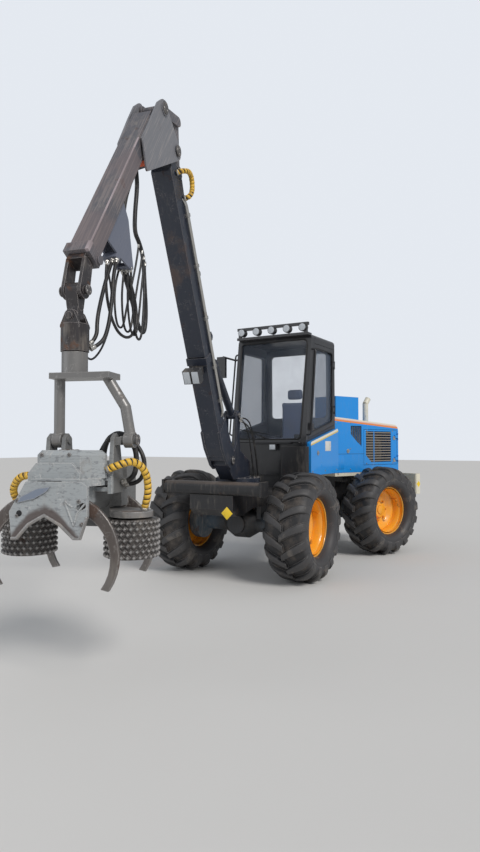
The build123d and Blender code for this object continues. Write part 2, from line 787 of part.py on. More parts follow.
with BuildPart() as main_boom:
    plate(
        (
            (boom_back, 150), (boom_front - 32, 150), (boom_front, foot_nose_end - 5),
            (boom_front, 3240), (boom_front - 50, 3300),
            (60, 3300), (60, 3130), (boom_back, 3130),
        ),
        (-boom_half_width, boom_half_width),
    )
    block((boom_back + boom_wall, boom_front - boom_wall), (-boom_half_width + boom_wall, boom_half_width - boom_wall),
          (400, 2900), mode=Mode.SUBTRACT)
    for y in both_sides(*boot_plate):
        plate(
            (
                (-80, -75), (80, -75), foot_nose, (boom_front + 6, foot_nose_end), (boom_front + 6, 480),
                (boom_back - 10, 540),
                (-60, 300), (-105, 60), (-105, -20),
            ),
            y,
        )
    block((foot_nose[0] - 10, foot_nose[0] + 12), (-boot_plate[0] - 2, boot_plate[0] + 2), (90, 165))
    lobes(
        (
            (knuckle_pin_x, knuckle_pin_z, 80), (*rocker_pin, 50), (boom_front - 90, 3220, 40),
            (boom_back + 30, 3090, 30),
        ),
        (-head_lug, head_lug),
    )
    block((boom_back - 12, boom_front + 12), (-boom_half_width - 12, boom_half_width + 12), (1290, 1370))
    block((boom_back, boom_front), (-boom_half_width + boom_wall, boom_half_width - boom_wall), (1280, 1380),
          mode=Mode.SUBTRACT)
    for eye, reach in ((lift_eye, 170), (knuckle_eye, 130)):
        for y in both_sides(60, 84):
            plate(
                (
                    (boom_back + 2, eye[1] - reach), (eye[0] + 30, eye[1] - 55), (eye[0] - 30, eye[1] - 45),
                    (eye[0] - 45, eye[1]), (eye[0] - 30, eye[1] + 45), (eye[0] + 30, eye[1] + 55),
                    (boom_back + 2, eye[1] + reach),
                ),
                y,
            )
    cross_pin(*knuckle_eye, 26, 90)
    for y in both_sides(58, 92):
        bar((lift_eye[0], y[0], lift_eye[1]), (lift_eye[0], y[1], lift_eye[1]), 32)
    cross_pin(0, 0, foot_pin_radius + pin_gap, 200, Mode.SUBTRACT)
    cross_pin(knuckle_pin_x, knuckle_pin_z, knuckle_pin_radius, 135)
    cross_pin(*rocker_pin, rocker_pin_radius, 86)

with BuildPart() as boom_lamps:
    block((boom_front + 12, boom_front + 90), (-60, 60), (1200, 1285))
    for y in (-47, 47):
        block((boom_front + 130, boom_front + 230), (y - 43, y + 43), (1170, 1315))
    block((boom_front + 80, boom_front + 135), (-60, 60), (1200, 1285))

pieces.append(("main_boom", main_boom.part, boom))
pieces.append(("boom_lamps", boom_lamps.part, boom))

with BuildPart() as rocker:
    for y in both_sides(head_lug + 6, head_lug + 24):
        lobes(
            ((*rocker_pin, 44), (*link_pin, 46)), y,
            holes=((*rocker_pin, rocker_pin_radius + pin_gap),),
        )

pieces.append(("rocker_links", rocker.part, boom))


def upright_line(start, end):
    """The frame at one (x, z) point with X towards another and Y kept."""
    return Location((start[0], 0, start[1]), (0, -degrees(atan2(end[1] - start[1], end[0] - start[0])), 0))


boom_in_crane = crane.inverse() * boom
lift_eye_crane = (boom_in_crane * Location((lift_eye[0], 0, lift_eye[1]))).position
lift_span = hypot(lift_eye_crane.X - lift_pin[0], lift_eye_crane.Z - lift_pin[1])
lift_place = crane * upright_line(lift_pin, (lift_eye_crane.X, lift_eye_crane.Z))
lift_barrel_part, lift_rod_part = cylinder_pair(lift_span, 880, 46, 32, 55, 48, 26, 535)
pieces.append(("lift_barrel", lift_barrel_part, lift_place))
pieces.append(("lift_rod", lift_rod_part, lift_place))

knuckle_span = hypot(link_pin[0] - knuckle_eye[0], link_pin[1] - knuckle_eye[1])
knuckle_place = boom * upright_line(knuckle_eye, link_pin)
knuckle_barrel_part, knuckle_rod_part = cylinder_pair(knuckle_span, 985, 46, 32, 50, 43, 26, 45)
pieces.append(("knuckle_barrel", knuckle_barrel_part, knuckle_place))
pieces.append(("knuckle_rod", knuckle_rod_part, knuckle_place))


# Knuckle boom, in the knuckle frame, whose X runs towards the tip

lever_pin = (-57, 390)
lever_pin_radius = 30
heel_plate = (108, 123)
box_wall = 10
slide_gap = 5
box_heel = 150
ext_half = knuckle_half_width - box_wall - slide_gap
ext_low = knuckle_low + box_wall + slide_gap
ext_high = knuckle_high - box_wall - slide_gap
mouth = (knuckle_end - 90, knuckle_end)

with BuildPart() as knuckle_boom:
    block((box_heel, knuckle_end), (-knuckle_half_width, knuckle_half_width), (knuckle_low, knuckle_high))
    block(mouth, (-knuckle_half_width - 16, knuckle_half_width + 16), (knuckle_low - 18, knuckle_high + 18))
    block((box_heel + 40, knuckle_end - 100), (-knuckle_half_width + box_wall, knuckle_half_width - box_wall),
          (knuckle_low + box_wall, knuckle_high - box_wall), mode=Mode.SUBTRACT)
    block((knuckle_end - 101, knuckle_end + 1), (-ext_half - pin_gap, ext_half + pin_gap),
          (ext_low - pin_gap, ext_high + pin_gap), mode=Mode.SUBTRACT)
    for y in both_sides(*heel_plate):
        lobes(
            ((0, 0, 85), (*lever_pin, 75), (30, knuckle_high - 30, 34), (box_heel + 60, knuckle_high - 20, 20),
             (560, knuckle_high - 40, 20), (700, knuckle_low - 60, 20), (330, knuckle_low - 60, 30)),
            y, holes=((0, 0, knuckle_pin_radius + pin_gap),),
        )
    for y in both_sides(knuckle_half_width - 2, heel_plate[0] + 1):
        block((box_heel + 60, 560), y, (knuckle_low + 10, knuckle_high - 10))
    for y in both_sides(45, 60):
        plate(
            (
                (1180, knuckle_low + 5), (1245, 180), (1515, -105), (1550, -85), (1610, 110),
                (1650, knuckle_low + 5),
            ),
            y,
        )
    block((1500, 1545), (-62, 62), (-80, -40))
    for y in both_sides(knuckle_half_width + 15, knuckle_half_width + 34):
        bar((mouth[0] + 45, y[0], knuckle_low + 20), (mouth[0] + 45, y[1], knuckle_low + 20), 36)
    block((1600, 1660), (-62, 62), (100, 160))
    cross_pin(*lever_pin, lever_pin_radius, 128)
    for y in both_sides(122, 134):
        bar((lever_pin[0], y[0], lever_pin[1]), (lever_pin[0], y[1], lever_pin[1]), 66)

knuckle_in_boom = boom.inverse() * knuckle
link_pin_spot = (knuckle_in_boom.inverse() * Location((link_pin[0], 0, link_pin[1]))).position
link_pin_knuckle = (link_pin_spot.X, link_pin_spot.Z)

with BuildPart() as coupler:
    for y in both_sides(head_lug + 32, head_lug + 50):
        lobes(
            ((*lever_pin, 48), (*link_pin_knuckle, 46)), y,
            holes=((*lever_pin, lever_pin_radius + pin_gap),),
        )

fork_plate = (55, 80)
tip_pin_radius = 30

with BuildPart() as extension:
    block((box_heel + 200, knuckle_end + 50), (-ext_half, ext_half), (ext_low, ext_high))
    block((box_heel + 190, knuckle_end + 20), (-ext_half + 10, ext_half - 10), (ext_low + 10, ext_high - 10),
          mode=Mode.SUBTRACT)
    for y in both_sides(*fork_plate):
        with BuildSketch(Plane.XZ.offset(-y[0])) as fork:
            with Locations((tip_x, tip_z)):
                Circle(62)
            with Locations((knuckle_end + 42, ext_high - 24), (knuckle_end + 42, ext_low + 24)):
                Circle(19)
            make_hull()
        extrude(to_extrude=fork.sketch, amount=y[0] - y[1])
    cross_pin(tip_x, tip_z, tip_pin_radius, 105)

pieces.append(("knuckle_boom", knuckle_boom.part, knuckle))
pieces.append(("coupler_links", coupler.part, knuckle))
pieces.append(("extension", extension.part, knuckle))


# Tip link and rotator, in the hanging frame, whose origin is on the ground under the tip pin

sway_z = hang_z - sway_drop
sway_pin_radius = 26
rotator_top = sway_z - 50
rotator_low = 2330
rotator_radius = 100

with BuildPart() as tip_link:
    with BuildSketch(Plane.XZ.offset(-49)) as eye:
        with Locations((0, hang_z)):
            Circle(58)
        with Locations((0, sway_z + 80)):
            Circle(36)
        make_hull()
    extrude(to_extrude=eye.sketch, amount=98)
    block((-36, 36), (-45, 45), (sway_z, sway_z + 90))
    with BuildSketch(Plane.YZ.offset(-40)) as lower:
        with Locations((0, sway_z)):
            Circle(48)
    extrude(to_extrude=lower.sketch, amount=80)
    cross_pin(0, hang_z, tip_pin_radius + pin_gap, 200, Mode.SUBTRACT)
    bar((-200, 0, sway_z), (200, 0, sway_z), sway_pin_radius + pin_gap, Mode.SUBTRACT)

with BuildPart() as rotator:
    for x in both_sides(46, 70):
        with BuildSketch(Plane.YZ.offset(x[0])) as yoke:
            with Locations((0, sway_z)):
                Circle(46)
            with Locations((-60, rotator_top - 20), (60, rotator_top - 20)):
                Circle(20)
            make_hull()
        extrude(to_extrude=yoke.sketch, amount=x[1] - x[0])
    bar((-84, 0, sway_z), (84, 0, sway_z), sway_pin_radius)
    bar((0, 0, rotator_low), (0, 0, rotator_top - 4), rotator_radius)
    bar((0, 0, rotator_low - 80), (0, 0, rotator_low + 1), 45)

plate_low_z = plate_top_z - plate_thickness
leg_radius = 38
left_leg_y = -115
right_leg_y = 425
elbow = (0, 388, 1930)
leg_eye_half = 34

with BuildPart() as bracket:
    bar((0, 0, plate_top_z - 1), (0, 0, rotator_low - running_gap), 92)
    block((-100, 100), (-147, 305), (plate_low_z, plate_top_z))
    bar((0, left_leg_y, tilt_axis_z + 30), (0, left_leg_y, plate_low_z + 2), leg_radius)
    bar((0, 252, plate_low_z + 10), elbow, leg_radius)
    with Locations(elbow):
        Sphere(leg_radius)
    bar(elbow, (0, right_leg_y, tilt_axis_z + 30), leg_radius)
    for y in (left_leg_y, right_leg_y):
        bar((0, y - leg_eye_half, tilt_axis_z), (0, y + leg_eye_half, tilt_axis_z), 55)
    bar((0, 0, rotator_low - 90), (0, 0, rotator_low), 45 + pin_gap, Mode.SUBTRACT)
    for y in (left_leg_y, right_leg_y):
        bar((0, y - 60, tilt_axis_z), (0, y + 60, tilt_axis_z), 28 + pin_gap, Mode.SUBTRACT)

pieces.append(("tip_link", tip_link.part, hang))
pieces.append(("rotator", rotator.part, hang))
pieces.append(("head_bracket", bracket.part, head))


# Harvesting head, in the head frame, whose X runs along the log towards the front knives

body_low = 1210
body_top = 1545
cowl_top = 1630
cowl_low = 1440
front_pivot = (191, 1270)
rear_pivot = (180, 1240)

with BuildPart() as head_frame:
    with BuildSketch(Plane.YZ.offset(-400)) as beam:
        with BuildLine():
            Polyline(
                (-150, body_low), (150, body_low), (head_half_width, body_low + 60),
                (head_half_width, body_top - 70), (130, body_top), (-130, body_top),
                (-head_half_width, body_top - 70), (-head_half_width, body_low + 60), close=True,
            )
        make_face()
    extrude(to_extrude=beam.sketch, amount=400 + 290)
    block((-470, -390), (-90, 90), (body_low + 120, body_top))
    with BuildSketch(Plane.XY.offset(cowl_low)) as cowl:
        with BuildLine():
            Polyline((95, -150), (210, -165), (262, -120), (268, 180), (130, 295), (95, 295), close=True)
        make_face()
    extrude(to_extrude=cowl.sketch, amount=cowl_top - cowl_low - 32)
    extrude(to_extrude=Pos(0, 0, cowl_top - cowl_low - 32) * cowl.sketch, amount=32, taper=40)
    with BuildSketch(Plane.XY.offset(1390)) as cowl_foot:
        with BuildLine():
            Polyline((100, -140), (330, -140), (345, 200), (160, 280), (100, 280), close=True)
        make_face()
    extrude(to_extrude=cowl_foot.sketch, amount=51)
    with BuildSketch(Plane.YZ.offset(336)) as shield:
        with BuildLine():
            Polyline(
                (-160, 1425), (235, 1425), (278, 1395), (280, 1205), (226, 1052), (186, 1056), (90, 1140),
                (-24, 1203), (-138, 1140), (-222, 1048), (-262, 1042), (-280, 1225),
            close=True)
        make_face()
        with Locations((236, 1265)):
            SlotOverall(72, 40, rotation=25, mode=Mode.SUBTRACT)
    extrude(to_extrude=shield.sketch, amount=30)
    block((280, 340), (-115, 115), (1230, 1400))
    block((-640, -455), (-215, 215), (1030, 1500))
    block((-655, -560), (-190, 190), (1000, 1180), mode=Mode.SUBTRACT)
    for y in ((left_leg_y - 74, left_leg_y - 44), (left_leg_y + 44, left_leg_y + 74)):
        plate(((-75, body_top - 75), (75, body_top - 75), (46, tilt_axis_z + 15), (0, tilt_axis_z + 48),
               (-46, tilt_axis_z + 15)), y)
    plate(
        ((-140, body_low + 120), (88, body_low + 120), (88, 1400), (46, tilt_axis_z + 15), (0, tilt_axis_z + 48),
         (-46, tilt_axis_z + 15)),
        (right_leg_y - leg_eye_half - 95, right_leg_y - leg_eye_half - 65),
    )
    block((-120, 85), (head_half_width - 5, right_leg_y - leg_eye_half - 70), (1345, 1375))
    block((-120, 85), (head_half_width - 5, right_leg_y - leg_eye_half - 70), (1420, 1450))
    block((-35, 35), (right_leg_y - leg_eye_half - 66, right_leg_y - leg_eye_half - 22),
          (tilt_axis_z - 35, tilt_axis_z + 20))
    bar((0, left_leg_y - 85, tilt_axis_z), (0, left_leg_y + 85, tilt_axis_z), 28)
    bar((0, right_leg_y - leg_eye_half - 40, tilt_axis_z), (0, right_leg_y + leg_eye_half + 20, tilt_axis_z), 28)
    for side in (1, -1):
        bar((284, side * front_pivot[0], front_pivot[1]), (345, side * front_pivot[0], front_pivot[1]), 26)
        bar((-456, side * rear_pivot[0], rear_pivot[1]), (-399, side * rear_pivot[0], rear_pivot[1]), 24)
        block((arm_pin_x - 60, arm_pin_x + 60), (side * arm_pin_y - 60, side * arm_pin_y + 60), (1215, 1330))
        bar((arm_pin_x, side * arm_pin_y, 1130), (arm_pin_x, side * arm_pin_y, 1230), arm_pin_radius)

pieces.append(("head_frame", head_frame.part, head))


def knife(pivot, tip_out, tip_low, width):
    """A curved delimbing knife on the +Y side: an arm from its pivot down to a tip, in Y and Z."""
    py, pz = pivot
    with BuildSketch(Plane.YZ) as blade:
        with BuildLine():
            outer = ThreePointArc((py + 50, pz + 10), (py + tip_out + width * 0.9, pz - tip_low * 0.5),
                                  (py + tip_out, pz - tip_low))
            inner = ThreePointArc((py + tip_out, pz - tip_low), (py + tip_out + 5, pz - tip_low * 0.5),
                                  (py - 45, pz - 20))
            Line(inner @ 1, outer @ 0)
        make_face()
        with Locations((py, pz)):
            Circle(58)
    extrude(to_extrude=blade.sketch, amount=knife_thickness)


front_knife_pivot = front_pivot
with BuildPart() as front_knife:
    knife(front_knife_pivot, 225, 555, 95)
    bar((-1, *front_knife_pivot), (knife_thickness + 1, *front_knife_pivot), 26 + pin_gap, Mode.SUBTRACT)

with BuildPart() as rear_knife:
    knife(rear_pivot, 210, 540, 80)
    bar((-1, *rear_pivot), (knife_thickness + 1, *rear_pivot), 24 + pin_gap, Mode.SUBTRACT)

for name, builder, x in (("front_knife", front_knife, front_knife_x), ("rear_knife", rear_knife, rear_knife_x)):
    place = head * Location((x, 0, 0))
    pieces.append((name + "_left", builder.part, place))
    pieces.append((name + "_right", builder.part.mirror(Plane.XZ), place))

arm_low = roller_low + roller_height + 12
arm_high = 1200

with BuildPart() as roller_arm:
    with BuildSketch(Plane.XY.offset(arm_low)) as arm_plan:
        with Locations((arm_pin_x, arm_pin_y)):
            Circle(58)
        with Locations((roller_x, roller_y)):
            Circle(150)
        make_hull()
    extrude(to_extrude=arm_plan.sketch, amount=arm_high - arm_low)
    bar((roller_x, roller_y, roller_low + 40), (roller_x, roller_y, arm_low + 5), 40)
    bar((arm_pin_x, arm_pin_y, 1100), (arm_pin_x, arm_pin_y, 1260), arm_pin_radius + pin_gap, Mode.SUBTRACT)

stud_rows = 4
studs_per_row = 14
drum = roller_radius - 18

with BuildPart() as feed_roller:
    with BuildSketch(Plane.XY.offset(roller_low)) as drum_plan:
        with Locations((roller_x, roller_y)):
            RegularPolygon(drum, 2 * studs_per_row)
    extrude(to_extrude=drum_plan.sketch, amount=roller_height)
    for level in range(stud_rows):
        z = roller_low + (level + 0.5) * roller_height / stud_rows
        for index in range(studs_per_row):
            turn = 360 * (index + 0.5 * (level % 2)) / studs_per_row
            with Locations(Location((roller_x, roller_y, z), (0, 0, turn)) * Location((drum + 6, 0, 0))):
                Box(24, 28, 24)
    bar((roller_x, roller_y, roller_low + 20), (roller_x, roller_y, roller_low + roller_height + 5), 40 + pin_gap,
        Mode.SUBTRACT)

for name, builder in (("roller_arm", roller_arm), ("feed_roller", feed_roller)):
    pieces.append((name + "_left", builder.part, head))
    pieces.append((name + "_right", builder.part.mirror(Plane.XZ), head))


# Hoses that hang free, each from the piece that it leaves

hoses = (
    ("hose_loop", crane, 12, (
        (3237, -25, 3126), (3300, -15, 2900), (3190, 15, 2580), (2970, 30, 2530), (2800, 20, 2690), (2830, 5, 2960),
        (2974, 0, 3124))),
    ("hose_boom", boom, 22, (
        (90, 109, 3205), (78, 172, 3215), (-105, 172, 3180), (-115, 165, 3040), (8, 170, 2962), (22, 112, 2958))),
    ("hose_head_right", head, 24, (
        (112, 307, 1500), (110, 385, 1530), (50, 470, 1560), (-20, 530, 1490), (-50, 540, 1380), (-60, 530, 1290),
        (-80, 500, 1218))),
    ("hose_head_left", head, 24, (
        (170, -196, 1450), (175, -270, 1460), (150, -350, 1430), (100, -420, 1350), (55, -420, 1280), (20, -400, 1222))),
)
for name, frame, radius, route in hoses:
    pieces.append((name, hose(route, radius), frame))


# The row's origin is under the middle of the whole machine, on the ground

placed = [(name, part.moved(place)) for name, part, place in pieces]
boxes = [shape.bounding_box() for name, shape in placed]
middle_x = (min(box.min.X for box in boxes) + max(box.max.X for box in boxes)) / 2
middle_y = (min(box.min.Y for box in boxes) + max(box.max.Y for box in boxes)) / 2
lowest = min(box.min.Z for box in boxes)
row = Location((-middle_x, -middle_y, -lowest))

os.makedirs("parts", exist_ok=True)
for name, shape in placed:
    finished = shape.moved(row)
    finished.label = name
    export_step(finished, "parts/" + name + ".step")

length = max(box.max.X for box in boxes) - min(box.min.X for box in boxes)
height = max(box.max.Z for box in boxes) - lowest
print(len(placed), "pieces; length", round(length), "height", round(height), "shift", round(middle_x), round(middle_y))
print("tip pin height", round(hang_z), "at", round(tip_in_crane.X), "ahead of the slewing axis")
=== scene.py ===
# %% [markdown]
# # Dressing a forestry harvester
# The machine is a four-wheel forest harvester with a joint in its middle: cab and crane
# in front, engine behind, and a felling head hanging from the crane's tip. Its solids come
# packed as a frame, every piece already in place. This lesson gives each one a finish and
# adds what the solids leave out: real tyres, hoses, cushions, grab rails and bolts.

# %% Load the frame
import bpy
import bmesh
import json
from math import atan2, cos, pi, radians, sin
from mathutils import Matrix, Vector


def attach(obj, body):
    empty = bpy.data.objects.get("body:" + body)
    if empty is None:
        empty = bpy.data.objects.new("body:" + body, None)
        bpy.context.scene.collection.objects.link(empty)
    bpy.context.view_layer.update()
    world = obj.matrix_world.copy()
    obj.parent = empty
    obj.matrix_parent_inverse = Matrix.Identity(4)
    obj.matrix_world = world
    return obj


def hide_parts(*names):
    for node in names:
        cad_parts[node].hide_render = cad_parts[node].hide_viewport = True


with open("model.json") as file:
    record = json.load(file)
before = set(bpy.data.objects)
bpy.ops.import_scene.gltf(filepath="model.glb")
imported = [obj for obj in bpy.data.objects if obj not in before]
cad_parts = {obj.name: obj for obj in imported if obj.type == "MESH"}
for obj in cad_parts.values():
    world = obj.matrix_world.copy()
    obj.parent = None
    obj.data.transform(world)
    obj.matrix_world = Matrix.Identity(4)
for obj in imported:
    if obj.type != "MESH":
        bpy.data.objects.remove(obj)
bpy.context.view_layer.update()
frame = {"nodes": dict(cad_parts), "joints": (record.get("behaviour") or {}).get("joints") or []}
nodes = frame["nodes"]
print(len(nodes), "solids loaded")

# %% [markdown]
# The machine was drawn from a point on the ground under its front axle, while the frame is
# centred under the whole machine. The front left wheel's turning point ties the two together:
# it stands half the track to the left of that point and a tyre's radius up. From there each
# big piece gets its own frame, turned the way that piece is, so a lamp or a bolt can be placed
# in the numbers that a fitter would measure on the piece itself.

# %% Frames of the big pieces
wheel_joint = next(joint for joint in frame["joints"] if joint["name"] == "wheel_turn_front_left")
half_track = 0.84
tyre_radius = 0.665


def moved(x, y, z, turn=0, axis="Z"):
    """A frame at a point, turned by degrees about one of its own axes."""
    return Matrix.Translation((x, y, z)) @ Matrix.Rotation(radians(turn), 4, axis)


def aimed(direction, axis="Z"):
    """A turn that points one axis along a direction."""
    return direction.to_track_quat(axis, "Y").to_matrix().to_4x4()


def add_object(name, data):
    """An object made of some data and linked to the scene."""
    made = bpy.data.objects.new(name, data)
    bpy.context.scene.collection.objects.link(made)
    return made


machine = Matrix.Translation(Vector(wheel_joint["pos_m"]) - Vector((0, half_track, tyre_radius)))
rear = machine @ moved(-2.055, 0, 0, -21.7)
crane = machine @ moved(0.15, 0, 0, 12)
boom = crane @ moved(0.58, 0, 1.48, 28.4, "Y")
knuckle = boom @ moved(0.022, 0, 3.386, 28.2, "Y")
tip = crane.inverted() @ knuckle @ Vector((2.233, 0, 0.339))
head = crane @ moved(tip.x, 0, 0, 6)
print("crane tip", round(tip.x, 3), "m ahead of the slewing axis,", round(tip.z, 3), "m up")

# %% [markdown]
# The photograph was taken from the machine's front left, at a standing person's eye height,
# about eight metres away and almost level. A camera placed there, with the same angle of
# view, shows the machine with the same perspective: a big head close by, a small rear wheel.

# %% Camera
lens = bpy.data.cameras.new("camera")
lens.lens, lens.sensor_width = 26.535, 36
camera = add_object("camera", lens)
eye = machine @ Vector((7.07, 4.04, 1.67))
tilt = radians(1.67)
view = Vector((-0.8651 * cos(tilt), -0.5015 * cos(tilt), sin(tilt)))
camera.matrix_world = Matrix.Translation(eye) @ aimed(view, "-Z")
bpy.context.scene.camera = camera
bpy.context.scene.view_settings.view_transform = "Standard"
print("camera", [round(value, 2) for value in camera.location])

# %% [markdown]
# A studio shot wants even, soft light and a pale ground. A broad sun stands high on the
# machine's left, where the light came from, a weak lamp fills the shade in front, and a pale
# sky lights the rest. A camera ray that misses everything sees a bright pale sky, and so does
# one that passes through glass, while the sky that lights the paint stays weaker.

# %% Light
world = bpy.data.worlds.new("studio")
bpy.context.scene.world = world
world.use_nodes = True
sky = world.node_tree
background = sky.nodes["Background"]
background.inputs["Color"].default_value = (0.82, 0.86, 0.92, 1)
paths = sky.nodes.new("ShaderNodeLightPath")
seen = sky.nodes.new("ShaderNodeMath")
seen.operation = "MAXIMUM"
strength = sky.nodes.new("ShaderNodeMapRange")
strength.inputs["To Min"].default_value, strength.inputs["To Max"].default_value = 0.45, 0.95
sky.links.new(paths.outputs["Is Camera Ray"], seen.inputs[0])
sky.links.new(paths.outputs["Is Transmission Ray"], seen.inputs[1])
sky.links.new(seen.outputs[0], strength.inputs["Value"])
sky.links.new(strength.outputs["Result"], background.inputs["Strength"])


def lamp(name, kind, place, size, power, colour=(1, 1, 1)):
    """A soft lamp at a place in the machine's frame, aimed at the cab's foot."""
    light = bpy.data.lights.new(name, kind)
    light.energy, light.color = power, colour
    if kind == "SUN":
        light.angle = radians(size)
    else:
        light.size = size
    stand = add_object(name, light)
    spot = machine @ Vector(place)
    cab_foot = machine @ Vector((0.4, 0, 1.6))
    stand.matrix_world = Matrix.Translation(spot) @ aimed(cab_foot - spot, "-Z")
    print("lamp", name, power)


lamp("key", "SUN", (4.0, 8.0, 9.0), 22, 1.9, (1, 0.97, 0.94))
lamp("fill", "AREA", (9.0, -5.0, 5.0), 7.0, 140, (0.93, 0.96, 1))

# %% [markdown]
# Every finish is a small sum of patterns: where dust lies, where rust shows, where an edge
# is rubbed bright. Written as node trees by hand, such sums get long, so one class holds a
# socket and takes plus, minus and times like a number, and another makes any node with its
# settings and sockets in one call. Colours and directions go through their own mixing nodes,
# because plain maths would turn them grey.

# %% Patterns written as sums
class Wire:
    """One socket of a finish, which can be added, multiplied and mixed."""

    def __init__(self, finish, socket):
        self.finish, self.socket = finish, socket

    def sum_of(self, operation, *values):
        return self.finish.node("ShaderNodeMath", {"operation": operation}, dict(enumerate(values)))

    def __add__(self, other):
        return self.sum_of("ADD", self, other)

    def __sub__(self, other):
        return self.sum_of("SUBTRACT", self, other)

    def __rsub__(self, other):
        return self.sum_of("SUBTRACT", other, self)

    def __mul__(self, other):
        return self.sum_of("MULTIPLY", self, other)

    def __abs__(self):
        return self.sum_of("ABSOLUTE", self)

    def over(self, other):
        return self.sum_of("GREATER_THAN", self, other)

    def under(self, other):
        return self.sum_of("LESS_THAN", self, other)

    def ramp(self, low, high):
        """0 below low, 1 above high, and a smooth step between; low may be the higher one."""
        return self.finish.node("ShaderNodeMapRange", {"interpolation_type": "SMOOTHSTEP"},
                                {"Value": self, "From Min": low, "From Max": high})

    def near(self, level, narrow, low, high):
        """1 in a thin line where the value passes a level; a larger narrow makes it thinner."""
        off = self - level
        return (1 - off * off * narrow).ramp(low, high)

    __radd__, __rmul__ = __add__, __mul__


class Finish:
    """A paint, rubber or metal being written: one Principled shader and the nodes that feed it."""

    def __init__(self, name, colour, roughness=0.5, metallic=0.0, **fixed):
        self.material = bpy.data.materials.new(name)
        self.material.use_nodes = True
        self.material.diffuse_color = (*colour, 1)
        self.tree = self.material.node_tree
        self.shader = self.tree.nodes["Principled BSDF"]
        self.colour, self.rough = colour, roughness
        for socket, value in {"Roughness": roughness, "Metallic": metallic, **fixed}.items():
            self.shader.inputs[socket.replace("_", " ")].default_value = value
        self.shader.inputs["Base Color"].default_value = (*colour, 1)
        self.place = self.node("ShaderNodeTexCoord", output="Object")

    def node(self, kind, settings=None, sockets=None, output=0):
        """Makes a node: its settings first, then its sockets, from values or from other wires."""
        made = self.tree.nodes.new(kind)
        for name, value in (settings or {}).items():
            setattr(made, name, value)
        for name, value in (sockets or {}).items():
            if isinstance(value, Wire):
                self.tree.links.new(value.socket, made.inputs[name])
            else:
                made.inputs[name].default_value = value
        return Wire(self, made.outputs[output])

    def noise(self, scale, detail=3, stretch=None, shift=0.0):
        """Cloudy noise over the piece, in steps per metre, stretched if asked."""
        place = self.place
        if stretch or shift:
            place = self.node("ShaderNodeMapping", None, {
                "Vector": place, "Scale": stretch or (1, 1, 1), "Location": (shift, shift * 0.7, -shift)})
        return self.node("ShaderNodeTexNoise", None, {"Vector": place, "Scale": scale, "Detail": detail})

    def cells(self, scale):
        return self.node("ShaderNodeTexVoronoi", None, {"Vector": self.place, "Scale": scale}, "Distance")

    def dot(self, one, other):
        """How far two directions agree."""
        return self.node("ShaderNodeVectorMath", {"operation": "DOT_PRODUCT"}, {0: one, 1: other}, "Value")

    def along(self, piece, direction):
        """How far a point lies along a direction of a piece's own frame, in metres."""
        turned = piece.to_3x3() @ Vector(direction)
        return self.dot(self.place, turned) - turned.dot(piece.translation)

    def grain(self, piece, across, along, shift=0.0):
        """Noise drawn out along a piece's own X axis, for scratches that follow its length."""
        spot = self.node("ShaderNodeCombineXYZ", None, {
            "X": self.along(piece, (1, 0, 0)) * along + shift,
            "Y": self.along(piece, (0, 1, 0)) * across,
            "Z": self.along(piece, (0, 0, 1)) * across})
        return self.node("ShaderNodeTexNoise", None, {"Vector": spot, "Scale": 1.0, "Detail": 3})

    def facing(self, piece, direction):
        """How squarely the surface faces a direction of a piece's own frame, from -1 to 1."""
        normal = self.node("ShaderNodeNewGeometry", output="True Normal")
        return self.dot(normal, piece.to_3x3() @ Vector(direction))

    def sides(self, piece, limit=0.6):
        """1 on the faces that look to a piece's left or right."""
        out = self.facing(piece, (0, 1, 0))
        return (out * out).over(limit)

    def edges(self, radius, keep=0.5):
        """1 on outer edges, found by comparing a softened surface direction with the real one."""
        soft = self.node("ShaderNodeBevel", {"samples": 4}, {"Radius": radius})
        flat = self.node("ShaderNodeNewGeometry", output="Normal")
        return (1 - self.dot(soft, flat)).ramp(0.02, 0.02 + keep * 0.3)

    def paint(self, mask, colour):
        """Lays a colour over what is there where the mask is 1."""
        below = self.colour if isinstance(self.colour, Wire) else (*self.colour, 1)
        above = colour if isinstance(colour, Wire) else (*colour, 1)
        self.colour = self.node("ShaderNodeMix", {"data_type": "RGBA"}, {0: mask, 6: below, 7: above}, 2)
        self.tree.links.new(self.colour.socket, self.shader.inputs["Base Color"])
        return self

    def stain(self, scale, detail, low, high, amount, colour):
        """Paints cloudy patches, from a noise's scale and detail and the levels that bound them."""
        return self.paint(self.noise(scale, detail).ramp(low, high) * amount, colour)

    def stripes(self, level, where, bands):
        """Paints bands, each between a low and a high level."""
        for low, high, colour in bands:
            self.paint(level.over(low) * level.under(high) * where, colour)

    def dull(self, mask, roughness):
        """Changes the roughness towards a value where the mask is 1."""
        self.rough = mask * roughness + (1 - mask) * self.rough
        self.tree.links.new(self.rough.socket, self.shader.inputs["Roughness"])
        return self

    def metal(self, mask):
        self.tree.links.new(mask.socket, self.shader.inputs["Metallic"])
        return self

    def bump(self, height, distance, rounding=0.0):
        """Raises the surface by a pattern; a rounding softens the solid's sharp edges too."""
        sockets = {"Height": height, "Distance": distance, "Strength": 1.0}
        if rounding:
            sockets["Normal"] = self.node("ShaderNodeBevel", {"samples": 4}, {"Radius": rounding})
        raised = self.node("ShaderNodeBump", None, sockets)
        self.tree.links.new(raised.socket, self.shader.inputs["Normal"])
        return self


def dress(finish, *names):
    """Gives solids a finish in place of the plain one they came with."""
    for name in names:
        mesh = nodes[name].data
        mesh.materials.clear()
        mesh.materials.append(finish.material)
    print(finish.material.name, "on", ", ".join(names))


# %% [markdown]
# Machine paint in the forest ages in the same few ways, whatever its colour: dust settles
# in clouds and on top, mud dries low down, edges and corners rub through to primer and rust,
# and branches draw thin pale scratches. One function lays these over any paint, in amounts
# that each piece can choose. The edge mask compares the real surface with a softened copy
# of it, which is cheap and needs no drawing by hand.

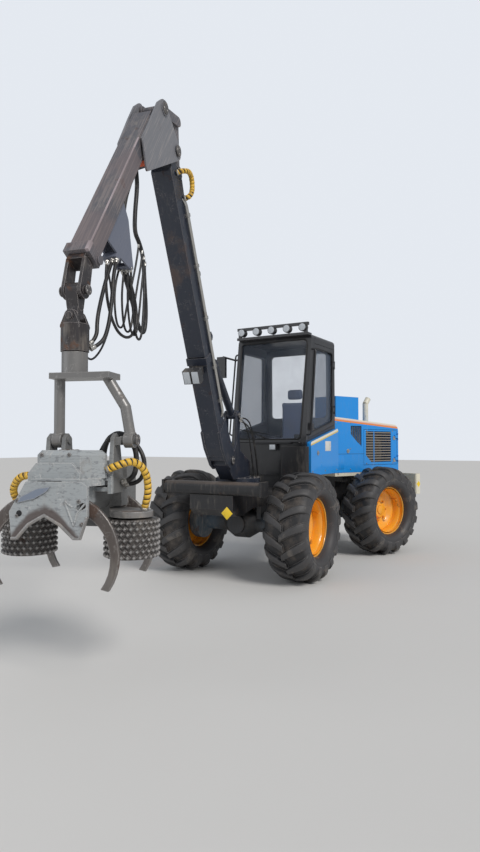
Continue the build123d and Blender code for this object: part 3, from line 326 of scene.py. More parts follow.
# %% Wear that every paint shares
dust_colour = (0.42, 0.37, 0.31)
rust_colour = (0.105, 0.055, 0.035)


def weather(finish, dust=0.3, rust=0.3, scratches=0.4, edge=0.006, worn=(0.30, 0.27, 0.25)):
    """Lays dust, rubbed edges, scratches and rust on a finish."""
    cloud = finish.noise(3.5, 6)
    speckle = finish.noise(60, 4, shift=3.0)
    streak = finish.noise(26, 3, stretch=(1.4, 1.4, 0.22), shift=7.0)
    dusty = (cloud * 0.6 + streak * 0.5).ramp(0.62 - dust * 0.25, 0.86 - dust * 0.1) * dust
    finish.paint(dusty, dust_colour).dull(dusty, 0.85)
    rubbed = (finish.edges(edge) * 1.3 + speckle * 0.9 - 0.75).ramp(0.1, 0.5)
    finish.paint(rubbed * 0.85, worn)
    patch = (finish.noise(7, 8, shift=11.0) + speckle * 0.16).ramp(0.74 - rust * 0.14, 0.80 - rust * 0.08)
    finish.paint(patch * min(1.0, rust * 2), rust_colour).dull(patch, 0.8)
    line = finish.noise(5, 2, stretch=(1, 9, 3), shift=17.0).near(0.5, 9000, 0.1, 0.9)
    cross = finish.noise(4, 2, stretch=(8, 2, 5), shift=23.0).near(0.47, 9000, 0.1, 0.9)
    broken = finish.noise(11, 3, shift=29.0).ramp(0.52, 0.62)
    finish.paint((line + cross) * broken * scratches * 0.7, worn)
    finish.bump(speckle * 0.5 + patch * 0.7 + finish.noise(90, 2) * 0.3, 0.0012, edge * 0.5)
    return finish


def panel_blue(name):
    """The glossy blue of the sheet metal, worn to a darker blue."""
    return weather(Finish(name, (0.012, 0.29, 0.80), 0.34, Coat_Weight=0.25), dust=0.2, rust=0.02,
                   scratches=0.25, worn=(0.05, 0.13, 0.24))


blue = panel_blue("blue_paint")
print("wear laid on", blue.material.name)

# %% [markdown]
# The blue panels are glossy sheet metal. The skirt under the cab carries a cream stripe with
# a yellow edge that slants with the windscreen, and the hood a band of orange, pink and cream
# along its upper edge. They are stickers on one flat sheet, so we paint them by position:
# how far a point lies along the panel decides its colour. The stripe on the skirt needs its
# own copy of the paint, because its place belongs to that piece alone.

# %% Blue panels with their stripes
hood_up = blue.along(rear, (0, 0, 1))
hood_back = blue.along(rear, (-1, 0, 0))
side = blue.sides(rear)
blue.stripes(hood_up + hood_back * 0.0649, side, (
    (2.035, 2.058, (0.86, 0.27, 0.03)),
    (2.058, 2.072, (0.80, 0.42, 0.40)),
    (2.072, 2.094, (0.82, 0.76, 0.62))))
seam = hood_up.near(1.52, 90000, 0.0, 0.6) * side * hood_back.under(0.74)
blue.paint(seam, (0.004, 0.03, 0.09))
inside = (hood_back.over(0.79) * hood_back.under(1.405) * hood_up.over(1.39) * hood_up.under(1.876)
          * abs(blue.along(rear, (0, 1, 0))).under(0.4975))
blue.paint(inside, (0.25, 0.225, 0.19))
# Painted shade: below 1.24 m the hood is painted a darker blue, as the shade that falls on its lower part.
blue.paint(hood_up.under(1.24) * 0.5, (0.006, 0.10, 0.30))
dress(blue, "hood", "grille_door_left", "grille_door_right")

skirt_blue = panel_blue("skirt_paint")
skirt_edge = skirt_blue.along(machine, (0, 0, 1)) - skirt_blue.along(machine, (-1, 0, 0)) * 0.206
skirt_blue.stripes(skirt_edge, skirt_blue.sides(machine), (
    (1.505, 1.523, (0.80, 0.56, 0.05)),
    (1.523, 1.56, (0.83, 0.80, 0.70))))
dress(skirt_blue, "cab_skirts")

# %% [markdown]
# The deck under the hood, the exhaust and the bumper are cream. The bumper's end wears a
# yellow warning square stood on its corner. Distances along two slanted directions, added
# without their signs, are less than a number exactly inside such a square.

# %% Cream pieces
cream = weather(Finish("cream_paint", (0.76, 0.72, 0.58), 0.42), dust=0.5, rust=0.35, scratches=0.4,
                worn=(0.30, 0.25, 0.20))
across = cream.along(rear, (-1, 0, 0)) - 1.71
upward = cream.along(rear, (0, 0, 1)) - 1.02
diamond = (abs(across) + abs(upward)).under(0.052)
cream.paint(diamond * cream.sides(rear, 0.7), (0.90, 0.62, 0.03))
dress(cream, "rear_bumper", "hood_deck", "exhaust")

# %% [markdown]
# The chassis is black, greyed with dried mud that thickens towards the belly. The middle of
# each axle, under the frame, is painted near black as painted shade. The cab is a cleaner, glossier black.

# %% Black frame and cab
black = weather(Finish("frame_black_paint", (0.016, 0.016, 0.018), 0.45), dust=0.28, rust=0.12, scratches=0.3,
                worn=(0.15, 0.13, 0.115))
low_mud = (1.0 - black.along(machine, (0, 0, 1)) + black.noise(5, 6, shift=31) * 0.7).ramp(0.55, 1.1)
black.paint(low_mud * 0.22, (0.12, 0.10, 0.085)).dull(low_mud, 0.8)
pale_top = black.facing(machine, (0, 0, 1)).ramp(0.25, 0.75) * black.along(machine, (1, 0, 0)).over(0.55)
black.paint(pale_top * black.along(machine, (0, 0, 1)).over(1.1) * (0.45 + black.noise(9, 6) * 0.5),
            (0.155, 0.125, 0.105))
dress(black, "front_frame", "rear_frame")

axle_grey = weather(Finish("axle_paint", (0.075, 0.105, 0.135), 0.5), dust=0.7, rust=0.3, scratches=0.3,
                    worn=(0.22, 0.20, 0.18))
# Painted shade: the middle of the axle, under the frame, is painted near black.
painted_shade_mid_axle = (0.35 - abs(axle_grey.along(machine, (0, 1, 0)))).ramp(-0.1, 0.1)
axle_grey.paint(painted_shade_mid_axle * 0.85, (0.022, 0.020, 0.020))
dress(axle_grey, "front_axle", "rear_axle")

cab_black = weather(Finish("cab_paint", (0.010, 0.010, 0.012), 0.3, Coat_Weight=0.3), dust=0.1, rust=0.02,
                    scratches=0.15, edge=0.004, worn=(0.12, 0.12, 0.13))
dress(cab_black, "cab_shell", "cab_door", "lamp_rack")

# %% [markdown]
# The crane is painted nearly black, and years of sliding past trunks have worn it. The main
# boom shows brown rust in long patches. The knuckle boom is rubbed to a greyish primer, its
# upper edge carries a pale painted highlight, and the side plates of its heel are pale grey.
# The tubes at the tip are dark and oily. Three finishes from the same base keep them one family.

# %% Crane finishes
crane_black = weather(Finish("crane_paint_dark", (0.022, 0.028, 0.044), 0.36), dust=0.16, rust=0.12,
                      scratches=0.5, edge=0.008, worn=(0.24, 0.22, 0.22))
long_rust = (crane_black.noise(1.6, 7, shift=5) + crane_black.noise(40, 4) * 0.10).ramp(0.64, 0.74)
crane_black.paint(long_rust * 0.55, (0.13, 0.085, 0.065)).dull(long_rust, 0.7)
dress(crane_black, "main_boom", "crane_pillar", "lift_barrel", "knuckle_barrel")

knuckle_grey = weather(Finish("crane_paint_worn", (0.105, 0.105, 0.120), 0.42), dust=0.3, rust=0.2,
                       scratches=0.5, edge=0.008, worn=(0.34, 0.29, 0.29))
rubs = knuckle_grey.grain(knuckle, 95, 3.0)
knuckle_grey.paint((rubs + knuckle_grey.noise(3, 4, shift=6) * 0.35).ramp(0.66, 0.80) * 0.65,
                   (0.25, 0.215, 0.21))
knuckle_grey.paint(knuckle_grey.grain(knuckle, 150, 4.5, 9.0).ramp(0.58, 0.72) * 0.45, (0.045, 0.055, 0.085))
upper = knuckle_grey.along(knuckle, (0, 0, 1))
onward = knuckle_grey.along(knuckle, (1, 0, 0))
outward = knuckle_grey.along(knuckle, (0, 1, 0))
# Painted highlight: a pale line on the upper outer edge, where the light catches it.
ridge_highlight = ((upper + knuckle_grey.noise(12, 4, shift=2) * 0.01).over(0.4865)
         * outward.over(0.0775) * onward.over(0.56))
knuckle_grey.paint(ridge_highlight * 0.8, (0.50, 0.42, 0.44))
heel = (0.75 - onward).ramp(0.0, 0.05) * (outward * outward).over(0.0108)
knuckle_grey.paint(heel * 0.8, (0.22, 0.225, 0.245))
knuckle_grey.paint(heel * rubs.ramp(0.55, 0.75) * 0.7, (0.40, 0.37, 0.36))
pink = knuckle_grey.noise(1.7, 5, shift=9).ramp(0.50, 0.62) * onward.over(0.7)
knuckle_grey.paint(pink * 0.5, (0.20, 0.155, 0.155))
bracket_side = (0.33 - upper).ramp(0.0, 0.01) * onward.over(1.1)
knuckle_grey.paint(bracket_side * 0.8, (0.15, 0.175, 0.235))
dress(knuckle_grey, "knuckle_boom", "coupler_links", "rocker_links")

oily = weather(Finish("tip_paint", (0.032, 0.028, 0.030), 0.33), dust=0.4, rust=0.6, scratches=0.6,
               edge=0.008, worn=(0.34, 0.31, 0.30))
dress(oily, "tip_link", "rotator", "extension")

# %% [markdown]
# The felling head was painted light grey. Its flat shields are polished by bark, with rust
# at the seams. The knives are bare steel, brown where they don't cut and silver along the
# edge. Rods are hard chrome, which stays clean. The bare metals are metallic, the paint isn't.

# %% Head, steel and chrome
head_paint = weather(Finish("head_paint", (0.36, 0.385, 0.395), 0.38), dust=0.35, rust=0.12, scratches=0.9,
                     edge=0.008, worn=(0.62, 0.61, 0.59))
chips = (head_paint.noise(24, 8, stretch=(1, 1, 1.6), shift=41)
         + head_paint.noise(75, 3, shift=43) * 0.2).ramp(0.68, 0.76)
head_paint.paint(chips * 0.55, (0.155, 0.16, 0.175)).dull(chips, 0.55)
scuffs = head_paint.noise(8, 3, stretch=(1, 0.6, 7), shift=47).near(0.5, 2600, 0.2, 1.0)
head_paint.paint(scuffs * 0.5, (0.17, 0.175, 0.19))
head_up = head_paint.along(head, (0, 0, 1))
head_on = head_paint.along(head, (1, 0, 0))
off_middle = abs(head_paint.along(head, (0, 1, 0)) + 0.024)
vee = off_middle * 0.553 + (off_middle - 0.114) * off_middle.over(0.114) * 0.54
low_rust = (head_up + vee - 1.203 - head_paint.noise(9, 6, shift=3) * 0.07).ramp(0.055, 0.015)
head_paint.paint(low_rust * head_on.over(0.33) * 0.9, (0.085, 0.062, 0.056)).dull(low_rust, 0.6)
behind = (0.08 - head_on).ramp(0.0, 0.04)
head_paint.paint(behind * 0.75, (0.10, 0.095, 0.09)).dull(behind, 0.6)
dress(head_paint, "head_frame")

bracket_grey = weather(Finish("bracket_paint", (0.22, 0.215, 0.21), 0.35, 0.35), dust=0.3, rust=0.2,
                       scratches=0.9, edge=0.008, worn=(0.5, 0.49, 0.47))
dress(bracket_grey, "head_bracket")

steel = weather(Finish("worn_steel", (0.27, 0.26, 0.255), 0.38, 0.6), dust=0.5, rust=0.3, scratches=0.8,
                edge=0.009, worn=(0.62, 0.61, 0.60))
steel.metal(0.65 - steel.noise(7, 8, shift=11).ramp(0.58, 0.66) * 0.6)
dress(steel, "roller_arm_left", "roller_arm_right")

knife_steel = weather(Finish("knife_steel", (0.115, 0.098, 0.090), 0.36, 0.45), dust=0.35, rust=0.3,
                      scratches=0.9, edge=0.016, worn=(0.50, 0.48, 0.46))
pale_low = (1.0 - knife_steel.along(head, (0, 0, 1)) + knife_steel.noise(8, 5) * 0.3).ramp(0.20, 0.42)
knife_steel.paint(pale_low * 0.5, (0.26, 0.25, 0.24))
dress(knife_steel, "front_knife_left", "front_knife_right", "rear_knife_left", "rear_knife_right")

chrome = Finish("hard_chrome", (0.72, 0.72, 0.73), 0.14, 1.0)
smear = chrome.noise(30, 4, stretch=(1, 1, 3)).ramp(0.45, 0.75)
chrome.paint(smear * 0.35, (0.30, 0.28, 0.26)).dull(smear, 0.4)
dress(chrome, "lift_rod", "knuckle_rod", "steer_rod_left", "steer_rod_right")
dress(black, "steer_barrel_left", "steer_barrel_right")

iron = weather(Finish("engine_iron", (0.10, 0.10, 0.105), 0.55, 0.3), dust=0.6, rust=0.4, scratches=0.3,
               worn=(0.3, 0.28, 0.26))
dress(iron, "engine")

# %% [markdown]
# Rims are orange-yellow, with rust-brown dirt in patches. Window glass is tinted and thin, so
# it is made by alpha alone: nearly clear when seen squarely, which lets the seat show behind
# it, and denser at a slant, where real glass reflects more.

# %% Rims, glass, plastics
rim_paint = weather(Finish("rim_paint", (0.95, 0.42, 0.03), 0.28, Coat_Weight=0.4), dust=0.3, rust=0.35,
                    scratches=0.4, worn=(0.25, 0.12, 0.05))

glass = Finish("tinted_glass", (0.10, 0.14, 0.21), 0.06, 0.0, Coat_Weight=1.0)
film = glass.noise(3, 5).ramp(0.4, 0.8)
rim_light = glass.node("ShaderNodeFresnel", None, {"IOR": 1.5})
clear = 0.07 + film * 0.05 + rim_light * 0.55
glass.tree.links.new(clear.socket, glass.shader.inputs["Alpha"])
glass.paint(film * 0.3, (0.30, 0.33, 0.38)).dull(film, 0.2)
dress(glass, "cab_glass", "door_glass")

plastic = Finish("seat_plastic", (0.03, 0.032, 0.036), 0.55)
plastic.stain(8, 5, 0.5, 0.8, 0.4, (0.10, 0.095, 0.09)).bump(plastic.cells(420), 0.0006)
dress(plastic, "seat_base")

hose_rubber = Finish("hose_rubber", (0.016, 0.016, 0.017), 0.42)
hose_rubber.stain(14, 5, 0.5, 0.75, 0.5, (0.11, 0.10, 0.09)).bump(hose_rubber.cells(260), 0.0004)

lamp_case = weather(Finish("lamp_case", (0.03, 0.03, 0.032), 0.45), dust=0.5, rust=0.0, scratches=0.2,
                    edge=0.004, worn=(0.3, 0.3, 0.3))
dress(lamp_case, "boom_lamps")

# %% [markdown]
# The rest is new shapes. Each is drawn in the frame of the piece that carries it, then moved
# there once, so that the object itself stays at the origin like every solid. A few helpers
# cover most fittings: a block with its edges rounded, a round bar, a pipe bent through
# several points, a flat plate, and one call that turns the finished drawing into a piece that
# rides along.

# %% Helpers for fittings
def soften(shape, edges, radius):
    """Rounds edges with two small steps."""
    bmesh.ops.bevel(shape, geom=list(edges), offset=radius, affect="EDGES", segments=2, profile=0.5,
                    material=-1)


def block(shape, x, y, z, edge=0.003):
    """A box from (low, high) spans with rounded edges."""
    made = bmesh.ops.create_cube(shape, size=1)["verts"]
    bmesh.ops.scale(shape, vec=(x[1] - x[0], y[1] - y[0], z[1] - z[0]), verts=made)
    bmesh.ops.translate(shape, vec=((x[0] + x[1]) / 2, (y[0] + y[1]) / 2, (z[0] + z[1]) / 2), verts=made)
    soften(shape, {rim for corner in made for rim in corner.link_edges}, edge)


def bar(shape, start, end, radius, sides=20, edge=0.002):
    """A round bar between two points, with its rims rounded."""
    start, end = Vector(start), Vector(end)
    middle = Matrix.Translation((start + end) / 2)
    made = bmesh.ops.create_cone(shape, cap_ends=True, cap_tris=False, segments=sides, radius1=radius,
                                 radius2=radius, depth=(end - start).length,
                                 matrix=middle @ aimed(end - start))["verts"]
    soften(shape, {rim for corner in made for rim in corner.link_edges
                   if any(len(face.verts) == sides for face in rim.link_faces)}, edge)


def pipe(shape, points, radius, sides=12):
    """A pipe bent through points, built from rings that are bridged one to the next."""
    points = [Vector(point) for point in points]
    rings = []
    for index, point in enumerate(points):
        run = points[min(index + 1, len(points) - 1)] - points[max(index - 1, 0)]
        end = index in (0, len(points) - 1)
        made = bmesh.ops.create_circle(shape, cap_ends=end, segments=sides, radius=radius,
                                       matrix=Matrix.Translation(point) @ aimed(run))["verts"]
        rings.append(list({rim for corner in made for rim in corner.link_edges}))
    for ring, onward in zip(rings, rings[1:]):
        bmesh.ops.bridge_loops(shape, edges=ring + onward)


def plate(shape, outline, x, thick):
    """A flat plate that faces forward, from its (y, z) corners."""
    face = shape.faces.new([shape.verts.new((x, y, z)) for y, z in outline])
    made = bmesh.ops.extrude_face_region(shape, geom=[face])["geom"]
    bmesh.ops.translate(shape, vec=(thick, 0, 0),
                        verts=[part for part in made if isinstance(part, bmesh.types.BMVert)])


def rounded(corners, cut=0.06, steps=4):
    """Points along a path whose corners are rounded, for a bent pipe or rail."""
    corners = [Vector(corner) for corner in corners]
    path = [corners[0]]
    for before, corner, after in zip(corners, corners[1:], corners[2:]):
        near = corner + (before - corner).normalized() * cut
        far = corner + (after - corner).normalized() * cut
        for step in range(steps + 1):
            share = step / steps
            path.append(near.lerp(corner, share).lerp(corner.lerp(far, share), share))
    return path + [corners[-1]]


def as_mesh(name, shape):
    """A mesh made of a drawing, which is then let go."""
    mesh = bpy.data.meshes.new(name)
    shape.to_mesh(mesh)
    shape.free()
    return mesh


def finish_piece(name, shape, finish, body, place, soft_angle=40):
    """Turns a drawing into a piece in its place, riding on a body."""
    bmesh.ops.remove_doubles(shape, verts=shape.verts, dist=0.00005)
    bmesh.ops.recalc_face_normals(shape, faces=shape.faces)
    mesh = as_mesh(name, shape)
    mesh.transform(place)
    mesh.materials.append(finish.material)
    mesh.shade_smooth()
    mesh.set_sharp_from_angle(angle=radians(soft_angle))
    piece = add_object(name, mesh)
    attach(piece, body)
    print(name, len(mesh.polygons), "faces on", body)
    return piece


# %% [markdown]
# Tyre rubber is greyed where it wears and brown with earth where it doesn't. The tyre's mesh
# will carry two numbers on every point: how far it stands out as a lug, and how far down the
# side wall it lies. The finish reads them to grey the lug tops and the wall apart.

# %% Tyre rubber
rubber = Finish("tyre_rubber", (0.020, 0.020, 0.022), 0.55)
height = rubber.node("ShaderNodeAttribute", {"attribute_name": "stand"}, output="Fac")
wall = rubber.node("ShaderNodeAttribute", {"attribute_name": "wall"}, output="Fac")
mottle = rubber.noise(7, 7)
fine = rubber.noise(70, 4, shift=4)
rubber.paint((height + mottle * 0.4 - 0.2).ramp(0.5, 1.0) * 0.75, (0.068, 0.066, 0.067))
rubber.paint((wall + mottle * 0.4 - 0.2).ramp(0.4, 0.9) * 0.7, (0.062, 0.061, 0.064))
rubber.paint(rubber.edges(0.012, 0.8) * (0.5 + mottle * 0.7), (0.21, 0.205, 0.20))
rubber.paint((mottle + fine * 0.3).ramp(0.72, 0.85) * 0.5, (0.20, 0.175, 0.15))
rubber.paint((1 - height) * (mottle * 1.2 + fine * 0.2).ramp(0.62, 0.8) * (1 - wall) * 0.4,
             (0.13, 0.105, 0.085))
rubber.bump(fine * 0.6 + rubber.noise(260, 2) * 0.4, 0.0015)
print("rubber ready")

# %% [markdown]
# A forestry tyre is a smooth carcass with tall slanted lugs. The carcass is one profile spun
# round the axle. One lug is a cube cut into slices, its top edges rounded, and then bent:
# its length follows the carcass from the middle over the shoulder, its width runs round the
# wheel, and its height stands out from the rubber. Copies of that one lug go round both
# sides, half a step apart.

# %% Tyre shape
carcass = ((0, 0.618), (0.08, 0.617), (0.15, 0.611), (0.205, 0.594), (0.243, 0.564), (0.262, 0.526),
           (0.2685, 0.490),
           (0.2685, 0.476), (0.2645, 0.472), (0.2650, 0.452), (0.2670, 0.448), (0.259, 0.420), (0.241, 0.394),
           (0.214, 0.374), (0.186, 0.365), (0.160, 0.3575), (0.150, 0.352))
lugs_per_side = 17
lug_height = 0.048
lug_reach = 0.36
wheels = [(end + "_" + side, hand, axle @ moved(x, half_track * hand, tyre_radius))
          for end, axle, x in (("front", machine, 0), ("rear", rear, -0.717))
          for side, hand in (("left", 1), ("right", -1))]


def spin_profile(shape, outline, steps):
    """Turns a line of (y, r) points round the axle."""
    ring = [shape.verts.new((0, y, r)) for y, r in outline]
    edges = [shape.edges.new(pair) for pair in zip(ring, ring[1:])]
    bmesh.ops.spin(shape, geom=ring + edges, cent=(0, 0, 0), axis=(0, 1, 0), dvec=(0, 0, 0), angle=2 * pi,
                   steps=steps, use_merge=True, use_duplicate=False)


def on_carcass(travel):
    """The point (y, r) and the outward direction at a distance along the carcass from its middle."""
    for (y, r), (next_y, next_r) in zip(carcass, carcass[1:]):
        run = Vector((next_y - y, next_r - r))
        if travel <= run.length or next_r < 0.5:
            break
        travel -= run.length
    spot = Vector((y, r)) + run.normalized() * travel
    return spot, Vector((-run.y, run.x)).normalized()


def draw_straight_lug():
    """A lug before it is bent: a unit block with its top edges rounded and its length in slices."""
    shape = bmesh.new()
    bmesh.ops.create_cube(shape, size=1, matrix=Matrix.Translation((0.5, 0.5, 0.5)))
    soften(shape, [rim for rim in shape.edges if all(corner.co.z > 0.5 for corner in rim.verts)], 0.16)
    lengthwise = [rim for rim in shape.edges if abs(rim.verts[0].co.x - rim.verts[1].co.x) > 0.5]
    bmesh.ops.subdivide_edges(shape, edges=lengthwise, cuts=6, use_grid_fill=True)
    return as_mesh("straight lug", shape)


straight_lug = draw_straight_lug()
print("one lug has", len(straight_lug.polygons), "faces")


def add_lug(shape, side, turn):
    """Bends one lug over the carcass at an angle round the wheel."""
    first = len(shape.verts)
    shape.from_mesh(straight_lug)
    shape.verts.ensure_lookup_table()
    stand, flank = shape.verts.layers.float["stand"], shape.verts.layers.float["wall"]
    for corner in shape.verts[first:]:
        u, v, w = corner.co
        spot, outward = on_carcass(lug_reach * u)
        rise = lug_height * w * (1 - max(0.0, (u - 0.3) / 0.7) ** 2.2) * 1.05 - 0.004
        y, r = spot + outward * rise
        y -= 0.018 * (1 - u)
        width = (0.082 + 0.045 * min(1.0, u * 1.3)) * (1 - 0.16 * w)
        angle = turn - (0.17 * (1 - (1 - u) ** 1.6) - 0.03 + (v - 0.5) * width) / 0.64
        r = min(r, tyre_radius)
        corner.co = (r * sin(angle), side * y, r * cos(angle))
        corner[stand], corner[flank] = w, max(0.0, (u - 0.75) / 0.25) * 0.8


def draw_tyre():
    shape = bmesh.new()
    stand = shape.verts.layers.float.new("stand")
    flank = shape.verts.layers.float.new("wall")
    spin_profile(shape, [(-y, r) for y, r in reversed(carcass[1:])] + list(carcass), 102)
    for corner in shape.verts:
        inwards = 0.60 - Vector((corner.co.x, corner.co.z)).length
        corner[stand], corner[flank] = 0.0, min(1.0, max(0.0, inwards / 0.06))
    for side in (1, -1):
        for index in range(lugs_per_side):
            add_lug(shape, side, 2 * pi * (index + (side < 0) * 0.5) / lugs_per_side)
    return shape


for name, hand, place in wheels:
    turned = place @ Matrix.Rotation(radians(9 if hand > 0 else 4), 4, "Y")
    tyre = finish_piece("lugged_tyre_" + name, draw_tyre(), rubber, "wheel_" + name, turned, 50)
    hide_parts("tyre_" + name)

# %% [markdown]
# The rim is a steel band between two rolled lips, with a deep dish welded inside. It is
# narrower than the tyre, whose sides bulge out past it, so its lip lies in the tyre's shade.
# Again one profile is spun: lip, bead seat, well, lip. The dish is a second one, with eight
# nuts on studs round a hub cap, and a valve that pokes through beside the lip.

# %% Rims
rim_band = ((0.152, 0.340), (0.158, 0.345), (0.158, 0.358), (0.152, 0.363), (0.146, 0.358), (0.143, 0.347),
            (0.110, 0.344), (0.095, 0.330), (0.040, 0.322), (0, 0.322))
rim_dish = ((-0.056, 0.0), (-0.056, 0.205), (-0.048, 0.222), (-0.010, 0.262), (-0.003, 0.290),
            (-0.010, 0.318))
nuts = 8
nut_circle = 0.165


def draw_rim(side):
    """A whole rim, its open dish towards one side."""
    shape = bmesh.new()
    outer = list(rim_band)
    inner = [(-y, r) for y, r in reversed(rim_band[:-1])]
    lining = [(y, r - 0.012) for y, r in (outer[:1] + outer[-4:] + inner[:3] + inner[-1:])]
    for outline in (outer + inner, lining, rim_dish, [(y - 0.014, r) for y, r in rim_dish]):
        spin_profile(shape, outline, 72)
    bmesh.ops.remove_doubles(shape, verts=shape.verts, dist=0.0005)
    bar(shape, (0, -0.06, 0), (0, -0.006, 0), 0.118, 40, 0.012)
    bar(shape, (0, -0.02, 0), (0, 0.008, 0), 0.07, 32, 0.006)
    for index in range(nuts):
        turn = 2 * pi * index / nuts
        x, z = nut_circle * cos(turn), nut_circle * sin(turn)
        bar(shape, (x, -0.058, z), (x, -0.034, z), 0.018, 6, 0.002)
        bar(shape, (x, -0.04, z), (x, -0.020, z), 0.010, 12, 0.002)
    pipe(shape, rounded([(-0.27, 0.0, 0.15), (-0.27, 0.06, 0.15), (-0.255, 0.10, 0.14)], 0.02), 0.010, 10)
    if side < 0:
        bmesh.ops.scale(shape, vec=(1, -1, 1), verts=shape.verts)
    return shape


for name, hand, place in wheels:
    rim = finish_piece("dished_rim_" + name, draw_rim(hand), rim_paint, "wheel_" + name, place,
                       35)
    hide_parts("rim_" + name)

# %% [markdown]
# The free hoses are the real thing's most flexible parts: each is one smooth curve drawn
# through a few control points, straight out of its fitting, hanging, and back into the next.
# A curve with a round bevel makes the tube and keeps its line even. Where hoses rub on the
# boom or the head, they wear a yellow plastic spiral: a flat band wound round points that
# are read from the same curve. Each end has a crimped steel sleeve and a nut.

# %% Hose helpers
def measured(line):
    """The points along a curve's own line."""
    bare = line.copy()
    bare.data = line.data.copy()
    bare.data.bevel_depth = 0
    mesh = bpy.data.meshes.new_from_object(bare)
    points = [corner.co.copy() for corner in mesh.vertices]
    bpy.data.objects.remove(bare)
    return points


def hose(name, place, radius, route, body, finish, node=None):
    """A free hose along one smooth curve, whose length is measured and printed."""
    data = bpy.data.curves.new(name, "CURVE")
    data.dimensions, data.resolution_u, data.bevel_depth, data.bevel_resolution = "3D", 24, radius, 4
    data.use_fill_caps = True
    spline = data.splines.new("NURBS")
    spline.points.add(len(route) - 1)
    for point, spot in zip(spline.points, route):
        point.co = (*(place @ (Vector(spot) / 1000)), 1)
    spline.order_u, spline.use_endpoint_u = 3, True
    data.materials.append(finish.material)
    line = add_object(name, data)
    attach(line, body)
    if node:
        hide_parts(node)
    points = measured(line)
    length = sum((after - before).length for before, after in zip(points, points[1:]))
    print(name, round(length, 3), "m long,", radius * 2000, "mm thick")
    return line, points, length


def spiral(name, points, radius, body, finish, pitch=0.036, width=0.029):
    """A flat band wound round a hose's line."""
    shape = bmesh.new()
    angle, last, across = 0.0, None, Vector((0.3, 0.2, 1))
    for before, here in zip(points, points[1:]):
        run = here - before
        along = run.normalized()
        across = (across - along * across.dot(along)).normalized()
        steps = max(1, int(run.length / 0.0028))
        for step in range(steps):
            spot = before.lerp(here, step / steps)
            out = (Matrix.Rotation(angle, 3, along) @ across) * (radius + 0.0015)
            pair = [spot + out - along * width / 2, spot + out + along * width / 2]
            if last is None:
                last = shape.edges.new([shape.verts.new(corner) for corner in pair])
            else:
                made = bmesh.ops.extrude_edge_only(shape, edges=[last])["geom"]
                last = next(piece for piece in made if isinstance(piece, bmesh.types.BMEdge))
                ends = sorted(last.verts, key=lambda corner: (corner.co - old[0]).length)
                ends[0].co, ends[1].co = pair
            old = pair
            angle += 2 * pi * run.length / steps / pitch
    piece = finish_piece(name, shape, finish, body, Matrix.Identity(4), 60)
    thick = piece.modifiers.new("thickness", "SOLIDIFY")
    thick.thickness, thick.offset = 0.0025, 0
    return piece


def hose_ends(name, points, radius, body, finish):
    """A crimped sleeve and a hexagon nut at both ends of a hose's line."""
    shape = bmesh.new()
    for end, inner in ((points[0], points[3]), (points[-1], points[-4])):
        along = (inner - end).normalized()
        bar(shape, end, end + along * (0.040 if radius < 0.022 else 0.012), radius * 1.22, 16, 0.002)
        bar(shape, end - along * 0.004, end + along * 0.014, radius * 1.45, 6, 0.002)
    return finish_piece(name, shape, finish, body, Matrix.Identity(4))


fitting_steel = weather(Finish("zinc_fittings", (0.50, 0.49, 0.46), 0.32, 0.8), dust=0.3, rust=0.1,
                        scratches=0.3)
yellow_band = Finish("yellow_spiral", (0.82, 0.50, 0.06), 0.45)
yellow_band.stain(22, 5, 0.5, 0.7, 0.6, (0.30, 0.17, 0.06)).bump(yellow_band.noise(90), 0.001)

# %% [markdown]
# Hydraulic hoses are cut longer than the straight way, so that the joints they cross can move.
# Those at the knuckle hang in wide loops below their fittings. Each row names a hose, the
# frame its points are given in, its radius, the body that carries it, the spiral guard it
# wears if any, and its control points in millimetres.

